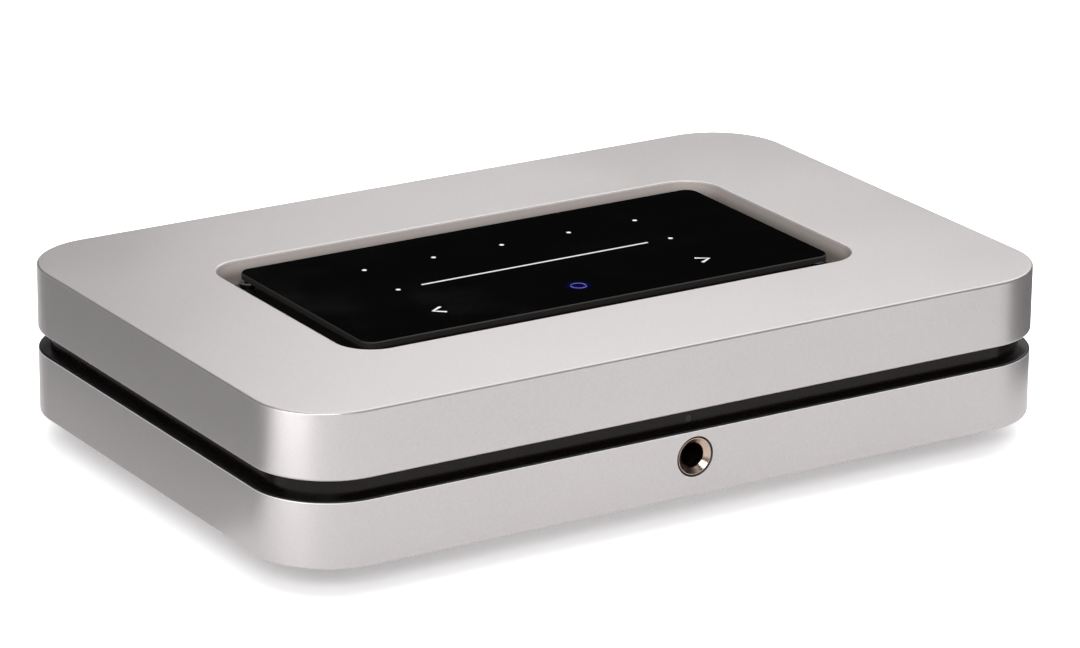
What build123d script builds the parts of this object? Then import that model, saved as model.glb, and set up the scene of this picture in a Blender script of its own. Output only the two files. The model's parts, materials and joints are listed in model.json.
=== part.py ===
"""Half-width network music streamer: two machined aluminium case halves round a black waist band,
a black glass touch plate in a well on top, a headphone socket in front and a socket bay behind.

Millimetres. The origin is on the table under the middle of the case, X to the right as seen from
the front, Y to the rear, Z up.
"""
import os

from build123d import *

os.makedirs("parts", exist_ok=True)

# Case halves and the gap between them
case_width = 220.0
case_depth = 146.0
case_corner = 20.0
foot_height = 7.2
lower_height = 17.0
waist_height = 4.9
upper_height = 16.9
edge_round = 0.6
wall = 5.0
floor_thickness = 2.5
roof_thickness = 3.0

# Clearances and the overrun of every cut
overrun = 1.0
slip = 0.05
fit_gap = 0.25

# Pillars and the long screws that join the halves
pillar_inset = 16.0
pillar_radius = 4.5
case_screw_radius = 1.45
case_screw_head_radius = 2.75
case_screw_head_height = 2.2
case_screw_sink = 2.6
case_screw_grip = 9.0
socket_width_share = 0.5
socket_depth_share = 0.6

# Feet
foot_side_inset = 32.0
foot_front_inset = 30.0
foot_top_radius = 9.5
foot_tread_radius = 8.3
foot_round = 0.8
foot_screw_sink = 3.4
foot_screw_radius = 1.45
foot_screw_head_radius = 3.0
foot_screw_head_height = 1.8
foot_screw_grip = 2.2

# Waist band
band_inset = 3.0
band_wall = 4.2
band_tongue = 2.0
band_tongue_gap = 0.2

# Status light and remote receiver behind the band
light_x = 0.0
light_drop = 3.1
light_radius = 1.0
light_sink = 0.15
light_flange = 0.6
light_flange_thickness = 0.5
light_chip_size = 1.6
light_chip_depth = 0.8
receiver_board_length = 30.0
receiver_board_height = 5.6
receiver_board_thickness = 1.0
receiver_board_shift = 4.0
receiver_board_lift = 0.7
receiver_boss_radius = 2.0
receiver_boss_inset = 3.0
receiver_size = 5.2
receiver_offset = 7.5
receiver_lens_share = 0.8

# Well in the top, its floor tray and their screws
well_length = 147.5
well_width = 76.4
well_corner = 9.5
well_lip = 0.5
well_depth = 6.5
collar_wall = 2.5
tray_thickness = 1.8
tray_flange = 6.0
tray_boss_radius = 2.9
well_screw_radius = 1.2
well_screw_head_radius = 2.1
well_screw_head_height = 1.1
well_screw_grip = 2.4
ear_boss_height = 2.8
ribbon_slot_length = 15.0
ribbon_slot_width = 3.0

# Touch panel
glass_side_gap = 6.15
glass_front_gap = 5.95
glass_corner = 3.5
glass_thickness = 1.5
glass_drop = 0.47
glass_bevel = 0.25
carrier_inset = 3.0
carrier_wall = 2.2
carrier_ledge = 2.0
carrier_corner = 2.5
ear_length = 5.4
ear_width = 6.6
ear_thickness = 1.3
back_ear_inset = 3.1
side_ear_inset = 6.75
mask_thickness = 0.8
touch_board_thickness = 1.0
touch_board_gap = 0.2
panel_light_length = 1.6
panel_light_width = 0.8
panel_light_height = 0.5
light_window_radius = 1.5
bar_end_room = 34.3
bar_window_width = 2.6
bar_light_count = 12
dot_side_inset = 27.6
dot_row_inset = 15.85
arrow_side_inset = 28.1
arrow_front_inset = 13.15
ring_front_inset = 11.65

# Ribbon between the touch board and the main board
ribbon_inset = 18.0
ribbon_y = 8.0
ribbon_width = 12.0
ribbon_thickness = 0.3
ribbon_bend = 1.6
ribbon_reach = 5.0
ribbon_socket_length = 14.5
ribbon_socket_depth = 4.4
ribbon_socket_height = 2.0
ribbon_entry = 1.0

# Rear bay
bay_side_inset = 26.0
bay_top = 34.0
bay_wall = 1.5
bay_depth = 4.0
socket_proud = 0.3

# Boards
board_rise = 3.6
board_thickness = 1.6
board_side_inset = 10.0
board_back_inset = 25.0
main_front_inset = 37.0
power_front_inset = 25.0
power_board_length = 48.0
board_split = 4.0
main_tongue_margin = 3.0
tongue_back_gap = 1.0
jack_tongue_half_width = 14.0
jack_tongue_gap = 6.0
power_tongue_left_reach = 12.0
power_tongue_right_reach = 16.0
spacer_inset = 5.0
spacer_radius = 2.7
board_hole_radius = 1.7
board_screw_radius = 1.45
board_screw_head_radius = 2.5
board_screw_head_height = 1.6
board_screw_grip = 2.8
insulator_thickness = 0.5
insulator_margin = 1.0
insulator_hole_gap = 1.2

# Processor and heat sink
processor_inset = 49.0
processor_front_inset = 32.0
processor_size = 27.0
processor_height = 2.2
sink_length = 42.0
sink_width = 42.0
sink_base = 3.0
sink_height = 15.0
sink_fin_count = 11
sink_fin_thickness = 1.3

# Other parts of the main board
memory_length = 13.0
memory_width = 11.0
memory_height = 1.1
memory_pitch = 15.0
memory_spacing = 33.0
small_chip_size = 8.0
small_chip_height = 1.3
lead_reach = 0.9
lead_width = 0.45
lead_pitch = 1.27
wireless_length = 24.0
wireless_width = 18.0
wireless_height = 2.6
can_chamfer_share = 0.2
wireless_inset = 44.0
wireless_front_inset = 12.0
film_length = 10.0
film_width = 5.0
film_height = 9.0
film_pitch = 7.0
film_count = 4
film_row_gap = 13.0
film_inset = 16.0
film_back_inset = 40.0
can_radius = 4.0
can_height = 10.5
can_pitch = 11.0
can_count = 4
can_bead_height = 1.4
can_bead_depth = 0.35
can_inset = 8.0
can_front_inset = 18.0
coil_size = 8.0
coil_height = 4.2
coil_pitch = 10.5
coil_count = 3
coil_corner = 1.6
coil_inset = 14.0
coil_front_inset = 7.0
tiny_length = 2.0
tiny_width = 1.25
tiny_height = 0.6
tiny_pitch = 3.6
tiny_rows = 4
tiny_columns = 8
board_chip_shares = [(0.13, 0.30), (0.27, 0.33), (0.34, 0.86), (0.40, 0.66), (0.71, 0.76), (0.86, 0.78)]
tiny_left_share = 0.08
tiny_left_back_inset = 18.48
tiny_middle_share = 0.47
tiny_middle_back_inset = 11.76

# Sockets of the rear bay, by their middle
inlet_side_inset = 18.0
inlet_width = 21.0
inlet_height = 13.0
inlet_depth = 16.0
inlet_lobe_radius = 4.2
inlet_pin_pitch = 8.6
inlet_web = 6.4
inlet_sink = 10.5
inlet_pin_radius = 1.2
inlet_pin_length = 8.8
pin_nose_share = 0.7
inlet_tag_length = 4.0

lan_spacing = 29.0
lan_width = 16.0
lan_height = 13.4
lan_depth = 16.0
lan_port_width = 11.9
lan_port_height = 8.0
lan_port_depth = 12.5
lan_latch_width = 6.2
lan_latch_height = 1.8
lan_roof = 1.8
lan_contact_count = 8
lan_contact_pitch = 1.02
lan_contact_width = 0.4
lan_contact_height = 0.5
lan_contact_length = 8.0

usb_spacing = 17.5
usb_width = 13.1
usb_height = 6.4
usb_depth = 14.0
usb_shell = 0.4
usb_tongue_width = 11.1
usb_tongue_height = 1.9
usb_tongue_length = 8.8
usb_mouth_room = 1.2
usb_tongue_drop = 0.9

hdmi_spacing = 16.5
hdmi_width = 15.0
hdmi_height = 6.2
hdmi_depth = 12.0
hdmi_shell = 0.4
hdmi_chamfer = 1.6
hdmi_tongue_width = 11.0
hdmi_tongue_height = 1.2
hdmi_tongue_length = 6.5
hdmi_mouth_room = 1.0

optical_spacing = 15.0
optical_width = 10.0
optical_height = 11.4
optical_depth = 14.0
optical_wall = 1.0
optical_chamber = 9.6
optical_lip = 0.5
optical_lip_thickness = 0.7
optical_eye_radius = 1.1
shutter_thickness = 0.9
shutter_pin_radius = 0.45
shutter_pin_reach = 0.6
shutter_gap = 0.12

mini_spacing = 12.0
mini_width = 8.0
mini_height = 7.0
mini_depth = 14.0
mini_collar_radius = 3.0
mini_bore_radius = 1.8
mini_bore_depth = 13.5

phono_spacing = 13.0
phono_pitch = 13.0
phono_block_depth = 12.0
phono_block_height = 13.4
phono_block_margin = 5.6
phono_axis_height = 7.6
phono_sleeve_radius = 4.15
phono_sleeve_wall = 0.5
phono_sleeve_reach = 8.4
phono_seat_depth = 3.0
phono_bore_radius = 1.6
phono_insert_sink = 0.4

# Headphone socket
jack_height = 17.3
jack_hole_radius = 5.15
jack_sink = 0.2
bushing_radius = 4.75
bushing_bore_radius = 3.2
bushing_mouth_radius = 4.5
bushing_mouth_depth = 1.1
bushing_seat_depth = 6.0
jack_body_width = 13.0
jack_body_height = 12.0
jack_body_length = 28.5
jack_body_bore_radius = 3.4
jack_back_wall = 1.5
jack_board_gap = 0.3
jack_ear_reach = 4.0
jack_ear_thickness = 1.5
jack_ear_length = 15.0
jack_ear_start = 8.0
leaf_thickness = 0.35
leaf_height = 2.4
leaf_straight = 3.6
leaf_nose_length = 3.0
leaf_nose_depth = 1.5
leaf_stand_off = 0.8
leaf_eye_radius = 0.5
leaf_slot_gap = 0.3
leaf_travel_room = 1.2
ring_leaf_start = 8.0
tip_leaf_start = 18.0

# Power board parts
fuse_radius = 2.6
fuse_length = 20.0
fuse_cap_length = 5.0
fuse_cap_wall = 0.2
fuse_inset = 28.0
fuse_back_inset = 5.0
suppressor_length = 18.0
suppressor_width = 8.5
suppressor_height = 15.0
suppressor_round = 0.8
suppressor_inset = 34.0
suppressor_back_inset = 16.0
bulk_radius = 8.0
bulk_height = 19.0
bulk_inset = 11.0
bulk_back_inset = 25.0
bulk_pitch = 18.0
transformer_inset = 25.0
transformer_front_inset = 31.0
core_length = 30.0
core_width = 12.0
core_height = 19.0
core_middle_leg = 8.4
core_window = 6.2
core_yoke = 3.2
coil_gap = 0.35
coil_overhang = 6.0
coil_round = 2.0

# Power lead between the boards
lead_back_inset = 40.0
lead_wire_count = 4
lead_wire_radius = 0.75
lead_wire_pitch = 2.5
lead_wire_rise = 6.5
lead_wire_bend = 3.0
lead_socket_width = 5.0
lead_socket_height = 5.5
lead_socket_margin = 1.2
lead_socket_inset = 3.6

# Antennas and their leads
antenna_side_inset = 50.0
antenna_length = 36.0
antenna_height = 8.0
antenna_thickness = 0.8
antenna_feed_inset = 8.0
coax_radius = 0.65
coax_reach = 9.0
coax_bend = 3.5
coax_plug_radius = 1.5
coax_plug_height = 1.4
coax_plug_pitch = 10.0

# Levels and faces that follow from the sizes above
lower_bottom = foot_height
floor_level = lower_bottom + floor_thickness
lower_top = lower_bottom + lower_height
upper_bottom = lower_top + waist_height
case_top = upper_bottom + upper_height
roof_level = case_top - roof_thickness
waist_middle = lower_top + waist_height / 2
rear_face = case_depth / 2
rear_inside = rear_face - wall
front_face = -rear_face
front_inside = -rear_inside
well_floor = case_top - well_depth
tray_bottom = well_floor - tray_thickness
glass_top = case_top - glass_drop
glass_bottom = glass_top - glass_thickness
mask_bottom = glass_bottom - mask_thickness
touch_board_bottom = mask_bottom - touch_board_thickness
board_bottom = floor_level + board_rise
board_top = board_bottom + board_thickness
bay_bottom = floor_level + bay_wall
bay_face = rear_inside - bay_depth
bay_back = bay_face - bay_wall
socket_face = bay_face + socket_proud
band_inner_inset = band_inset + band_wall
band_front = front_face + band_inset
band_inside = front_face + band_inner_inset
bay_half_width = case_width / 2 - bay_side_inset
bay_outer_half_width = bay_half_width + bay_wall
glass_length = well_length - 2 * glass_side_gap
glass_width = well_width - 2 * glass_front_gap
carrier_length = glass_length - 2 * carrier_inset
carrier_width = glass_width - 2 * carrier_inset

corner_low = (Align.MIN, Align.MIN, Align.MIN)
standing = (Align.CENTER, Align.CENTER, Align.MIN)

pillar_x = case_width / 2 - pillar_inset
pillar_y = case_depth / 2 - pillar_inset
pillar_places = [(x, y) for x in (-pillar_x, pillar_x) for y in (-pillar_y, pillar_y)]
foot_x = case_width / 2 - foot_side_inset
foot_y = case_depth / 2 - foot_front_inset
foot_places = [(x, y) for x in (-foot_x, foot_x) for y in (-foot_y, foot_y)]
tray_screw_x = well_length / 2 + collar_wall + tray_boss_radius
tray_screw_y = well_width / 2 + collar_wall + tray_boss_radius
tray_screw_places = [(x, y) for x in (-tray_screw_x, tray_screw_x) for y in (-tray_screw_y, tray_screw_y)]
back_ear_x = back_ear_inset - glass_length / 2
back_ear_y = carrier_width / 2 + ear_length / 2
side_ear_x = carrier_length / 2 + ear_length / 2
side_ear_y = side_ear_inset - glass_width / 2
ear_places = [(back_ear_x, back_ear_y), (side_ear_x, side_ear_y)]

# Marks on the glass
dot_pitch = (glass_length / 2 - dot_side_inset) / 2
dot_row_y = glass_width / 2 - dot_row_inset
bar_length = glass_length - 2 * bar_end_room
arrow_x = glass_length / 2 - arrow_side_inset
arrow_y = arrow_front_inset - glass_width / 2
ring_y = ring_front_inset - glass_width / 2

# Outlines of both boards
main_left = board_side_inset - case_width / 2
power_right = case_width / 2 - board_side_inset
power_left = power_right - power_board_length
main_right = power_left - board_split
main_front = front_face + main_front_inset
power_front = front_face + power_front_inset
main_back = rear_face - board_back_inset
power_back = main_back
main_tongue_left = -bay_half_width - main_tongue_margin
main_tongue_back = bay_back - tongue_back_gap
jack_tongue_front = front_inside + jack_tongue_gap

# Row of sockets, from the right end of the bay
inlet_x = bay_half_width - inlet_side_inset
lan_x = inlet_x - lan_spacing
usb_x = lan_x - usb_spacing
hdmi_x = usb_x - hdmi_spacing
optical_x = hdmi_x - optical_spacing
mini_x = optical_x - mini_spacing
phono_first_x = mini_x - phono_spacing
phono_count = 1 + int((phono_first_x + bay_half_width - phono_block_margin) / phono_pitch)
power_tongue_left = inlet_x - power_tongue_left_reach
power_tongue_right = inlet_x + power_tongue_right_reach

# Places on the main board
ribbon_x = main_right - ribbon_inset
processor_x = main_right - processor_inset
processor_y = main_front + processor_front_inset
memory_x = processor_x - memory_spacing
wireless_x = main_left + wireless_inset
wireless_y = main_front + wireless_front_inset
film_x = main_left + film_inset
film_y = main_back - film_back_inset
can_x = main_left + can_inset
can_y = main_front + can_front_inset
coil_x = main_right - coil_inset
coil_y = main_front + coil_front_inset

# Places on the power board
fuse_x = power_right - fuse_inset
fuse_y = power_back - fuse_back_inset
suppressor_x = power_right - suppressor_inset
suppressor_y = power_back - suppressor_back_inset
bulk_x = power_right - bulk_inset
bulk_y = power_back - bulk_back_inset
transformer_x = power_right - transformer_inset
transformer_y = power_front + transformer_front_inset
lead_y = power_back - lead_back_inset
antenna_x = case_width / 2 - antenna_side_inset
receiver_dome = light_chip_depth / 2


def block(x_low, x_high, y_low, y_high, z_low, z_high):
    """Box between two corners."""
    return Pos(x_low, y_low, z_low) * Box(x_high - x_low, y_high - y_low, z_high - z_low, align=corner_low)


def brick(x, y, base, length, width, height):
    """Box that stands on a level, by its middle."""
    return Pos(x, y, base) * Box(length, width, height, align=standing)


def post(x, y, radius, bottom, top):
    """Upright cylinder between two levels."""
    return Pos(x, y, bottom) * Cylinder(radius, top - bottom, align=standing)


def rod(x, z, radius, front, back):
    """Cylinder along Y between two faces."""
    return Pos(x, front, z) * Rot(-90, 0, 0) * Cylinder(radius, back - front, align=standing)


def slab(length, width, corner, bottom, top, x=0, y=0):
    """Plate with round corners between two levels."""
    return Pos(x, y, bottom) * extrude(RectangleRounded(length, width, corner), top - bottom)


def case_slab(inset, bottom, top):
    """Plate with the outline of the case, drawn in by the inset."""
    return slab(case_width - 2 * inset, case_depth - 2 * inset, case_corner - inset, bottom, top)


def screw(x, y, seat, shank_up, radius, length, head_radius, head_height):
    """Socket screw whose head bears on the seat level."""
    shank = Cylinder(radius, length, align=standing)
    head = Pos(0, 0, -head_height) * Cylinder(head_radius, head_height, align=standing)
    socket = extrude(RegularPolygon(socket_width_share * head_radius, 6), socket_depth_share * head_height)
    body = shank + head - Pos(0, 0, -head_height) * socket
    if not shank_up:
        body = Rot(180, 0, 0) * body
    return Pos(x, y, seat) * body


def save(name, *solids):
    """Write one node."""
    shape = solids[0] if len(solids) == 1 else Compound(children=list(solids))
    export_step(shape, "parts/" + name + ".step")


def rounded_case_half(bottom, top):
    """Solid case half with its long edges softly rounded."""
    half = case_slab(0, bottom, top)
    edges = half.faces().sort_by(Axis.Z)[-1].edges() + half.faces().sort_by(Axis.Z)[0].edges()
    return fillet(edges, edge_round)


def bay_window(bottom, top):
    """Cut through the rear wall for the socket bay."""
    return block(-bay_half_width, bay_half_width, rear_inside - overrun, rear_face + overrun, bottom, top)


def make_lower_shell():
    """Tray with the lower pillars, the headphone hole and the lower part of the bay window."""
    shell = rounded_case_half(lower_bottom, lower_top)
    shell -= case_slab(wall, floor_level, lower_top + overrun)
    for x, y in pillar_places:
        shell += post(x, y, pillar_radius, floor_level, waist_middle)
    for x, y in pillar_places:
        shell -= post(x, y, case_screw_radius + fit_gap, lower_bottom - overrun, waist_middle + overrun)
        shell -= post(x, y, case_screw_head_radius + fit_gap, lower_bottom - overrun,
                      lower_bottom + case_screw_sink)
    for x, y in foot_places:
        shell -= post(x, y, foot_screw_radius + slip, lower_bottom - overrun, floor_level + overrun)
    shell -= rod(0, jack_height, jack_hole_radius, front_face - overrun, front_inside + overrun)
    shell -= bay_window(bay_bottom, lower_top + overrun)
    return shell


def make_upper_shell():
    """Lid with the well and its collar, the upper pillars and the bosses that hold the tray."""
    shell = rounded_case_half(upper_bottom, case_top)
    shell -= case_slab(wall, upper_bottom - overrun, roof_level)
    collar_length = well_length + 2 * collar_wall
    collar_width = well_width + 2 * collar_wall
    shell += slab(collar_length, collar_width, well_corner + collar_wall, well_floor, roof_level)
    for x, y in tray_screw_places:
        shell += post(x, y, tray_boss_radius, well_floor, roof_level)
    for x, y in pillar_places:
        shell += post(x, y, pillar_radius, waist_middle, roof_level)
    shell -= slab(well_length, well_width, well_corner, well_floor - overrun, case_top + overrun)
    lip = [edge for edge in shell.edges()
           if abs(edge.center().Z - case_top) < slip
           and abs(edge.center().X) < well_length / 2 + slip
           and abs(edge.center().Y) < well_width / 2 + slip]
    shell = fillet(lip, well_lip)
    for x, y in tray_screw_places:
        shell -= post(x, y, well_screw_radius + slip, well_floor - overrun, well_floor + well_screw_grip)
    for x, y in pillar_places:
        shell -= post(x, y, case_screw_radius + slip, waist_middle - overrun,
                      waist_middle + case_screw_grip)
    shell -= bay_window(upper_bottom - overrun, bay_top)
    return shell


def make_waist_band():
    """Black ring between the halves, with tongues inside both, the light hole and two board bosses."""
    band = case_slab(band_inset, lower_top, upper_bottom)
    tongue_inset = wall + band_tongue_gap
    band += case_slab(tongue_inset, lower_top - band_tongue, upper_bottom + band_tongue)
    band -= case_slab(band_inner_inset, lower_top - band_tongue - overrun,
                      upper_bottom + band_tongue + overrun)
    for x in receiver_boss_xs:
        band += rod(x, receiver_middle, receiver_boss_radius, band_inside, receiver_board_front)
    band -= rod(light_x, light_level, light_radius + slip, front_face, band_inside + overrun)
    notch = jack_body_width / 2 + jack_board_gap
    band -= block(-notch, notch, front_inside, band_inside + overrun, lower_top - band_tongue - overrun,
                  lower_top)
    gap = bay_outer_half_width + band_tongue_gap
    band -= block(-gap, gap, rear_inside - bay_depth, rear_face + overrun,
                  lower_top - band_tongue - overrun, upper_bottom + band_tongue + overrun)
    return band


light_level = upper_bottom - light_drop
receiver_board_front = band_inside + light_flange_thickness + light_chip_depth
receiver_middle = lower_top + receiver_board_lift + receiver_board_height / 2
receiver_board_left = light_x + receiver_board_shift - receiver_board_length / 2
receiver_board_right = receiver_board_left + receiver_board_length
receiver_boss_xs = (receiver_board_left + receiver_boss_inset, receiver_board_right - receiver_boss_inset)


def make_status_light_pipe():
    """Clear pin through the band, held by its flange on the inside."""
    pipe = rod(light_x, light_level, light_radius, band_front + light_sink,
               band_inside + light_flange_thickness)
    pipe += rod(light_x, light_level, light_radius + light_flange, band_inside,
                band_inside + light_flange_thickness)
    return pipe


def make_receiver_board():
    """Narrow board behind the band that carries the status light and the remote receiver."""
    board = block(receiver_board_left, receiver_board_right, receiver_board_front,
                  receiver_board_front + receiver_board_thickness,
                  receiver_middle - receiver_board_height / 2, receiver_middle + receiver_board_height / 2)
    chip = block(light_x - light_chip_size / 2, light_x + light_chip_size / 2,
                 receiver_board_front - light_chip_depth, receiver_board_front,
                 light_level - light_chip_size / 2, light_level + light_chip_size / 2)
    return board + chip


def make_remote_receiver():
    """Receiver block between the band and its board, with a domed face on the band's side."""
    x = light_x + receiver_offset
    half = receiver_size / 2
    body = block(x - half, x + half, band_inside + receiver_dome, receiver_board_front,
                 receiver_middle - half, receiver_middle + half)
    lens = rod(x, receiver_middle, half * receiver_lens_share, band_inside, band_inside + receiver_dome)
    return body + lens



def make_well_tray():
    """Black floor of the well, with a slot for the ribbon and bosses under the carrier's ears."""
    length = well_length + 2 * (collar_wall + tray_flange)
    width = well_width + 2 * (collar_wall + tray_flange)
    tray = slab(length, width, well_corner, tray_bottom, well_floor)
    for x, y in ear_places:
        tray += post(x, y, tray_boss_radius, tray_bottom - ear_boss_height, tray_bottom)
    for x, y in ear_places:
        tray -= post(x, y, well_screw_radius + slip, tray_bottom - ear_boss_height - overrun,
                     well_floor + overrun)
    for x, y in tray_screw_places:
        tray -= post(x, y, well_screw_radius + fit_gap, tray_bottom - overrun, well_floor + overrun)
    tray -= block(ribbon_x - ribbon_slot_length / 2, ribbon_x + ribbon_slot_length / 2,
                  ribbon_y - ribbon_slot_width / 2, ribbon_y + ribbon_slot_width / 2,
                  tray_bottom - overrun, well_floor + overrun)
    return tray


def make_well_screws():
    """Four screws up through the tray's flange and two down through the carrier's ears."""
    screws = [screw(x, y, tray_bottom, True, well_screw_radius, tray_thickness + well_screw_grip,
                    well_screw_head_radius, well_screw_head_height) for x, y in tray_screw_places]
    ear_top = well_floor + ear_thickness
    screws += [screw(x, y, ear_top, False, well_screw_radius, ear_thickness + well_screw_grip,
                     well_screw_head_radius, well_screw_head_height) for x, y in ear_places]
    return screws


def make_panel_carrier():
    """Frame that holds the glass above the tray, with a ledge for the touch board and two ears."""
    carrier = slab(carrier_length, carrier_width, carrier_corner, well_floor, glass_bottom)
    for x, y in ear_places:
        length = ear_width if y > 0 else ear_length
        width = ear_length if y > 0 else ear_width
        carrier += brick(x, y, well_floor, length, width, ear_thickness)
    opening_length = carrier_length - 2 * (carrier_wall + carrier_ledge)
    opening_width = carrier_width - 2 * (carrier_wall + carrier_ledge)
    carrier -= brick(0, 0, well_floor - overrun, opening_length, opening_width, case_top - well_floor)
    carrier -= brick(0, 0, touch_board_bottom, carrier_length - 2 * carrier_wall,
                     carrier_width - 2 * carrier_wall, case_top - touch_board_bottom)
    for x, y in ear_places:
        carrier -= post(x, y, well_screw_radius + fit_gap, well_floor - overrun,
                        well_floor + ear_thickness + overrun)
    return carrier


def make_touch_glass():
    """Black glass plate with a fine bevel round its top."""
    plate = slab(glass_length, glass_width, glass_corner, glass_bottom, glass_top)
    return chamfer(plate.faces().sort_by(Axis.Z)[-1].edges(), glass_bevel)


def dot_places():
    """Places of the five dots in a row, the two by the bar, the two arrows and the ring."""
    row = [(step * dot_pitch, dot_row_y) for step in (-2, -1, 0, 1, 2)]
    beside = [(-2 * dot_pitch, 0), (2 * dot_pitch, 0)]
    return row + beside + [(-arrow_x, arrow_y), (arrow_x, arrow_y), (0, ring_y)]


def bar_light_xs():
    """Places of the lights under the bar."""
    pitch = bar_length / bar_light_count
    return [(step + 0.5) * pitch - bar_length / 2 for step in range(bar_light_count)]


touch_sheet_length = carrier_length - 2 * (carrier_wall + touch_board_gap)
touch_sheet_width = carrier_width - 2 * (carrier_wall + touch_board_gap)


def make_light_mask():
    """Sheet between touch board and glass, with a window over each light."""
    mask = brick(0, 0, mask_bottom, touch_sheet_length, touch_sheet_width, mask_thickness)
    for x, y in dot_places():
        mask -= post(x, y, light_window_radius, mask_bottom - overrun, glass_bottom + overrun)
    window_length = bar_length + bar_window_width
    mask -= brick(0, 0, mask_bottom - overrun, window_length, bar_window_width,
                  mask_thickness + 2 * overrun)
    return mask


def make_touch_board():
    """Board under the mask."""
    return brick(0, 0, touch_board_bottom, touch_sheet_length, touch_sheet_width, touch_board_thickness)


def make_panel_lights():
    """Lights on the touch board, one under each mark and a row under the bar."""
    places = dot_places() + [(x, 0) for x in bar_light_xs()]
    return [brick(x, y, mask_bottom, panel_light_length, panel_light_width, panel_light_height)
            for x, y in places]


ribbon_top_level = touch_board_bottom - ribbon_socket_height / 2
ribbon_low_level = board_top + ribbon_socket_height / 2


def make_ribbon_sockets():
    """Flat sockets for the ribbon under the touch board and on the main board."""
    upper_y = ribbon_y + ribbon_reach + ribbon_socket_depth / 2 - ribbon_entry
    lower_y = ribbon_y - ribbon_reach - ribbon_socket_depth / 2 + ribbon_entry
    slot_length = ribbon_width + 2 * slip
    slot_height = ribbon_thickness + 2 * slip
    upper = brick(ribbon_x, upper_y, touch_board_bottom - ribbon_socket_height, ribbon_socket_length,
                  ribbon_socket_depth, ribbon_socket_height)
    upper -= block(ribbon_x - slot_length / 2, ribbon_x + slot_length / 2,
                   ribbon_y, ribbon_y + ribbon_reach + slip,
                   ribbon_top_level - slot_height / 2, ribbon_top_level + slot_height / 2)
    lower = brick(ribbon_x, lower_y, board_top, ribbon_socket_length, ribbon_socket_depth,
                  ribbon_socket_height)
    lower -= block(ribbon_x - slot_length / 2, ribbon_x + slot_length / 2,
                   ribbon_y - ribbon_reach - slip, ribbon_y,
                   ribbon_low_level - slot_height / 2, ribbon_low_level + slot_height / 2)
    return [upper, lower]


def make_touch_ribbon():
    """Flat cable from the touch board, down through the tray's slot, to the main board."""
    route = FilletPolyline((ribbon_x, ribbon_y + ribbon_reach, ribbon_top_level),
                           (ribbon_x, ribbon_y, ribbon_top_level),
                           (ribbon_x, ribbon_y, ribbon_low_level),
                           (ribbon_x, ribbon_y - ribbon_reach, ribbon_low_level), radius=ribbon_bend)
    start = Plane(origin=route @ 0, x_dir=(1, 0, 0), z_dir=route % 0)
    return sweep(start * Rectangle(ribbon_width, ribbon_thickness), path=route)


def make_rear_frame():
    """Four-sided frame that lines the socket bay, between the rear plate and the case's rear wall."""
    frame = block(-bay_outer_half_width, bay_outer_half_width, bay_face, rear_inside,
                  floor_level, bay_top + bay_wall)
    return frame - block(-bay_half_width, bay_half_width, bay_face - overrun, rear_inside + overrun,
                         bay_bottom, bay_top)


def make_rear_panel():
    """Plate at the back of the socket bay, with a hole for each socket."""
    plate = block(-bay_outer_half_width, bay_outer_half_width, bay_back, bay_face,
                  floor_level, bay_top + bay_wall)
    for x, width, height in square_sockets():
        plate -= block(x - width / 2 - fit_gap, x + width / 2 + fit_gap, bay_back - overrun,
                       bay_face + overrun, board_top - fit_gap, board_top + height + fit_gap)
    plate -= rod(mini_x, board_top + mini_height / 2, mini_collar_radius + fit_gap, bay_back - overrun,
                 bay_face + overrun)
    for x in phono_xs():
        plate -= rod(x, phono_level, phono_sleeve_radius + fit_gap, bay_back - overrun,
                     bay_face + overrun)
    return plate


def square_sockets():
    """Middle, width and height of the sockets with a square front."""
    return [(inlet_x, inlet_width, inlet_height), (lan_x, lan_width, lan_height),
            (usb_x, usb_width, usb_height), (hdmi_x, hdmi_width, hdmi_height),
            (optical_x, optical_width, optical_height)]


phono_level = board_top + phono_axis_height


def phono_xs():
    """Places of the phono sockets."""
    return [phono_first_x - step * phono_pitch for step in range(phono_count)]


def board_blank(left, right, front, back, tongues):
    """Board outline with its tongues."""
    board = block(left, right, front, back, board_bottom, board_top)
    for tongue_left, tongue_right, tongue_front, tongue_back in tongues:
        board += block(tongue_left, tongue_right, tongue_front, tongue_back, board_bottom, board_top)
    return board


main_spacer_places = [(x, y) for x in (main_left + spacer_inset, main_right - spacer_inset)
                      for y in (main_front + spacer_inset, main_back - spacer_inset)]
power_spacer_places = [(x, y) for x in (power_left + spacer_inset, power_right - spacer_inset)
                       for y in (power_front + spacer_inset, power_back - spacer_inset)]
spacer_places = main_spacer_places + power_spacer_places


def make_main_board():
    """Main board, with a tongue under the rear sockets and a notched one round the headphone socket."""
    board = board_blank(main_left, main_right, main_front, main_back,
                        [(main_tongue_left, main_right, main_back, main_tongue_back),
                         (-jack_tongue_half_width, jack_tongue_half_width, jack_tongue_front, main_front)])
    notch = jack_body_width / 2 + jack_board_gap
    board -= block(-notch, notch, jack_tongue_front - overrun,
                   front_inside + jack_body_length + jack_board_gap,
                   board_bottom - overrun, board_top + overrun)
    for x, y in main_spacer_places:
        board -= post(x, y, board_hole_radius, board_bottom - overrun, board_top + overrun)
    return board


def make_power_board():
    """Mains board, with a tongue under the inlet."""
    board = board_blank(power_left, power_right, power_front, power_back,
                        [(power_tongue_left, power_tongue_right, power_back, main_tongue_back)])
    for x, y in power_spacer_places:
        board -= post(x, y, board_hole_radius, board_bottom - overrun, board_top + overrun)
    return board


def make_power_insulator():
    """Sheet on the case floor under the mains board, cut out round the spacers and foot screws."""
    sheet = block(power_left - insulator_margin, power_right + insulator_margin,
                  power_front - insulator_margin, power_back + insulator_margin,
                  floor_level, floor_level + insulator_thickness)
    for x, y in power_spacer_places:
        sheet -= post(x, y, spacer_radius + insulator_hole_gap, floor_level - overrun,
                      floor_level + insulator_thickness + overrun)
    return sheet


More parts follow.
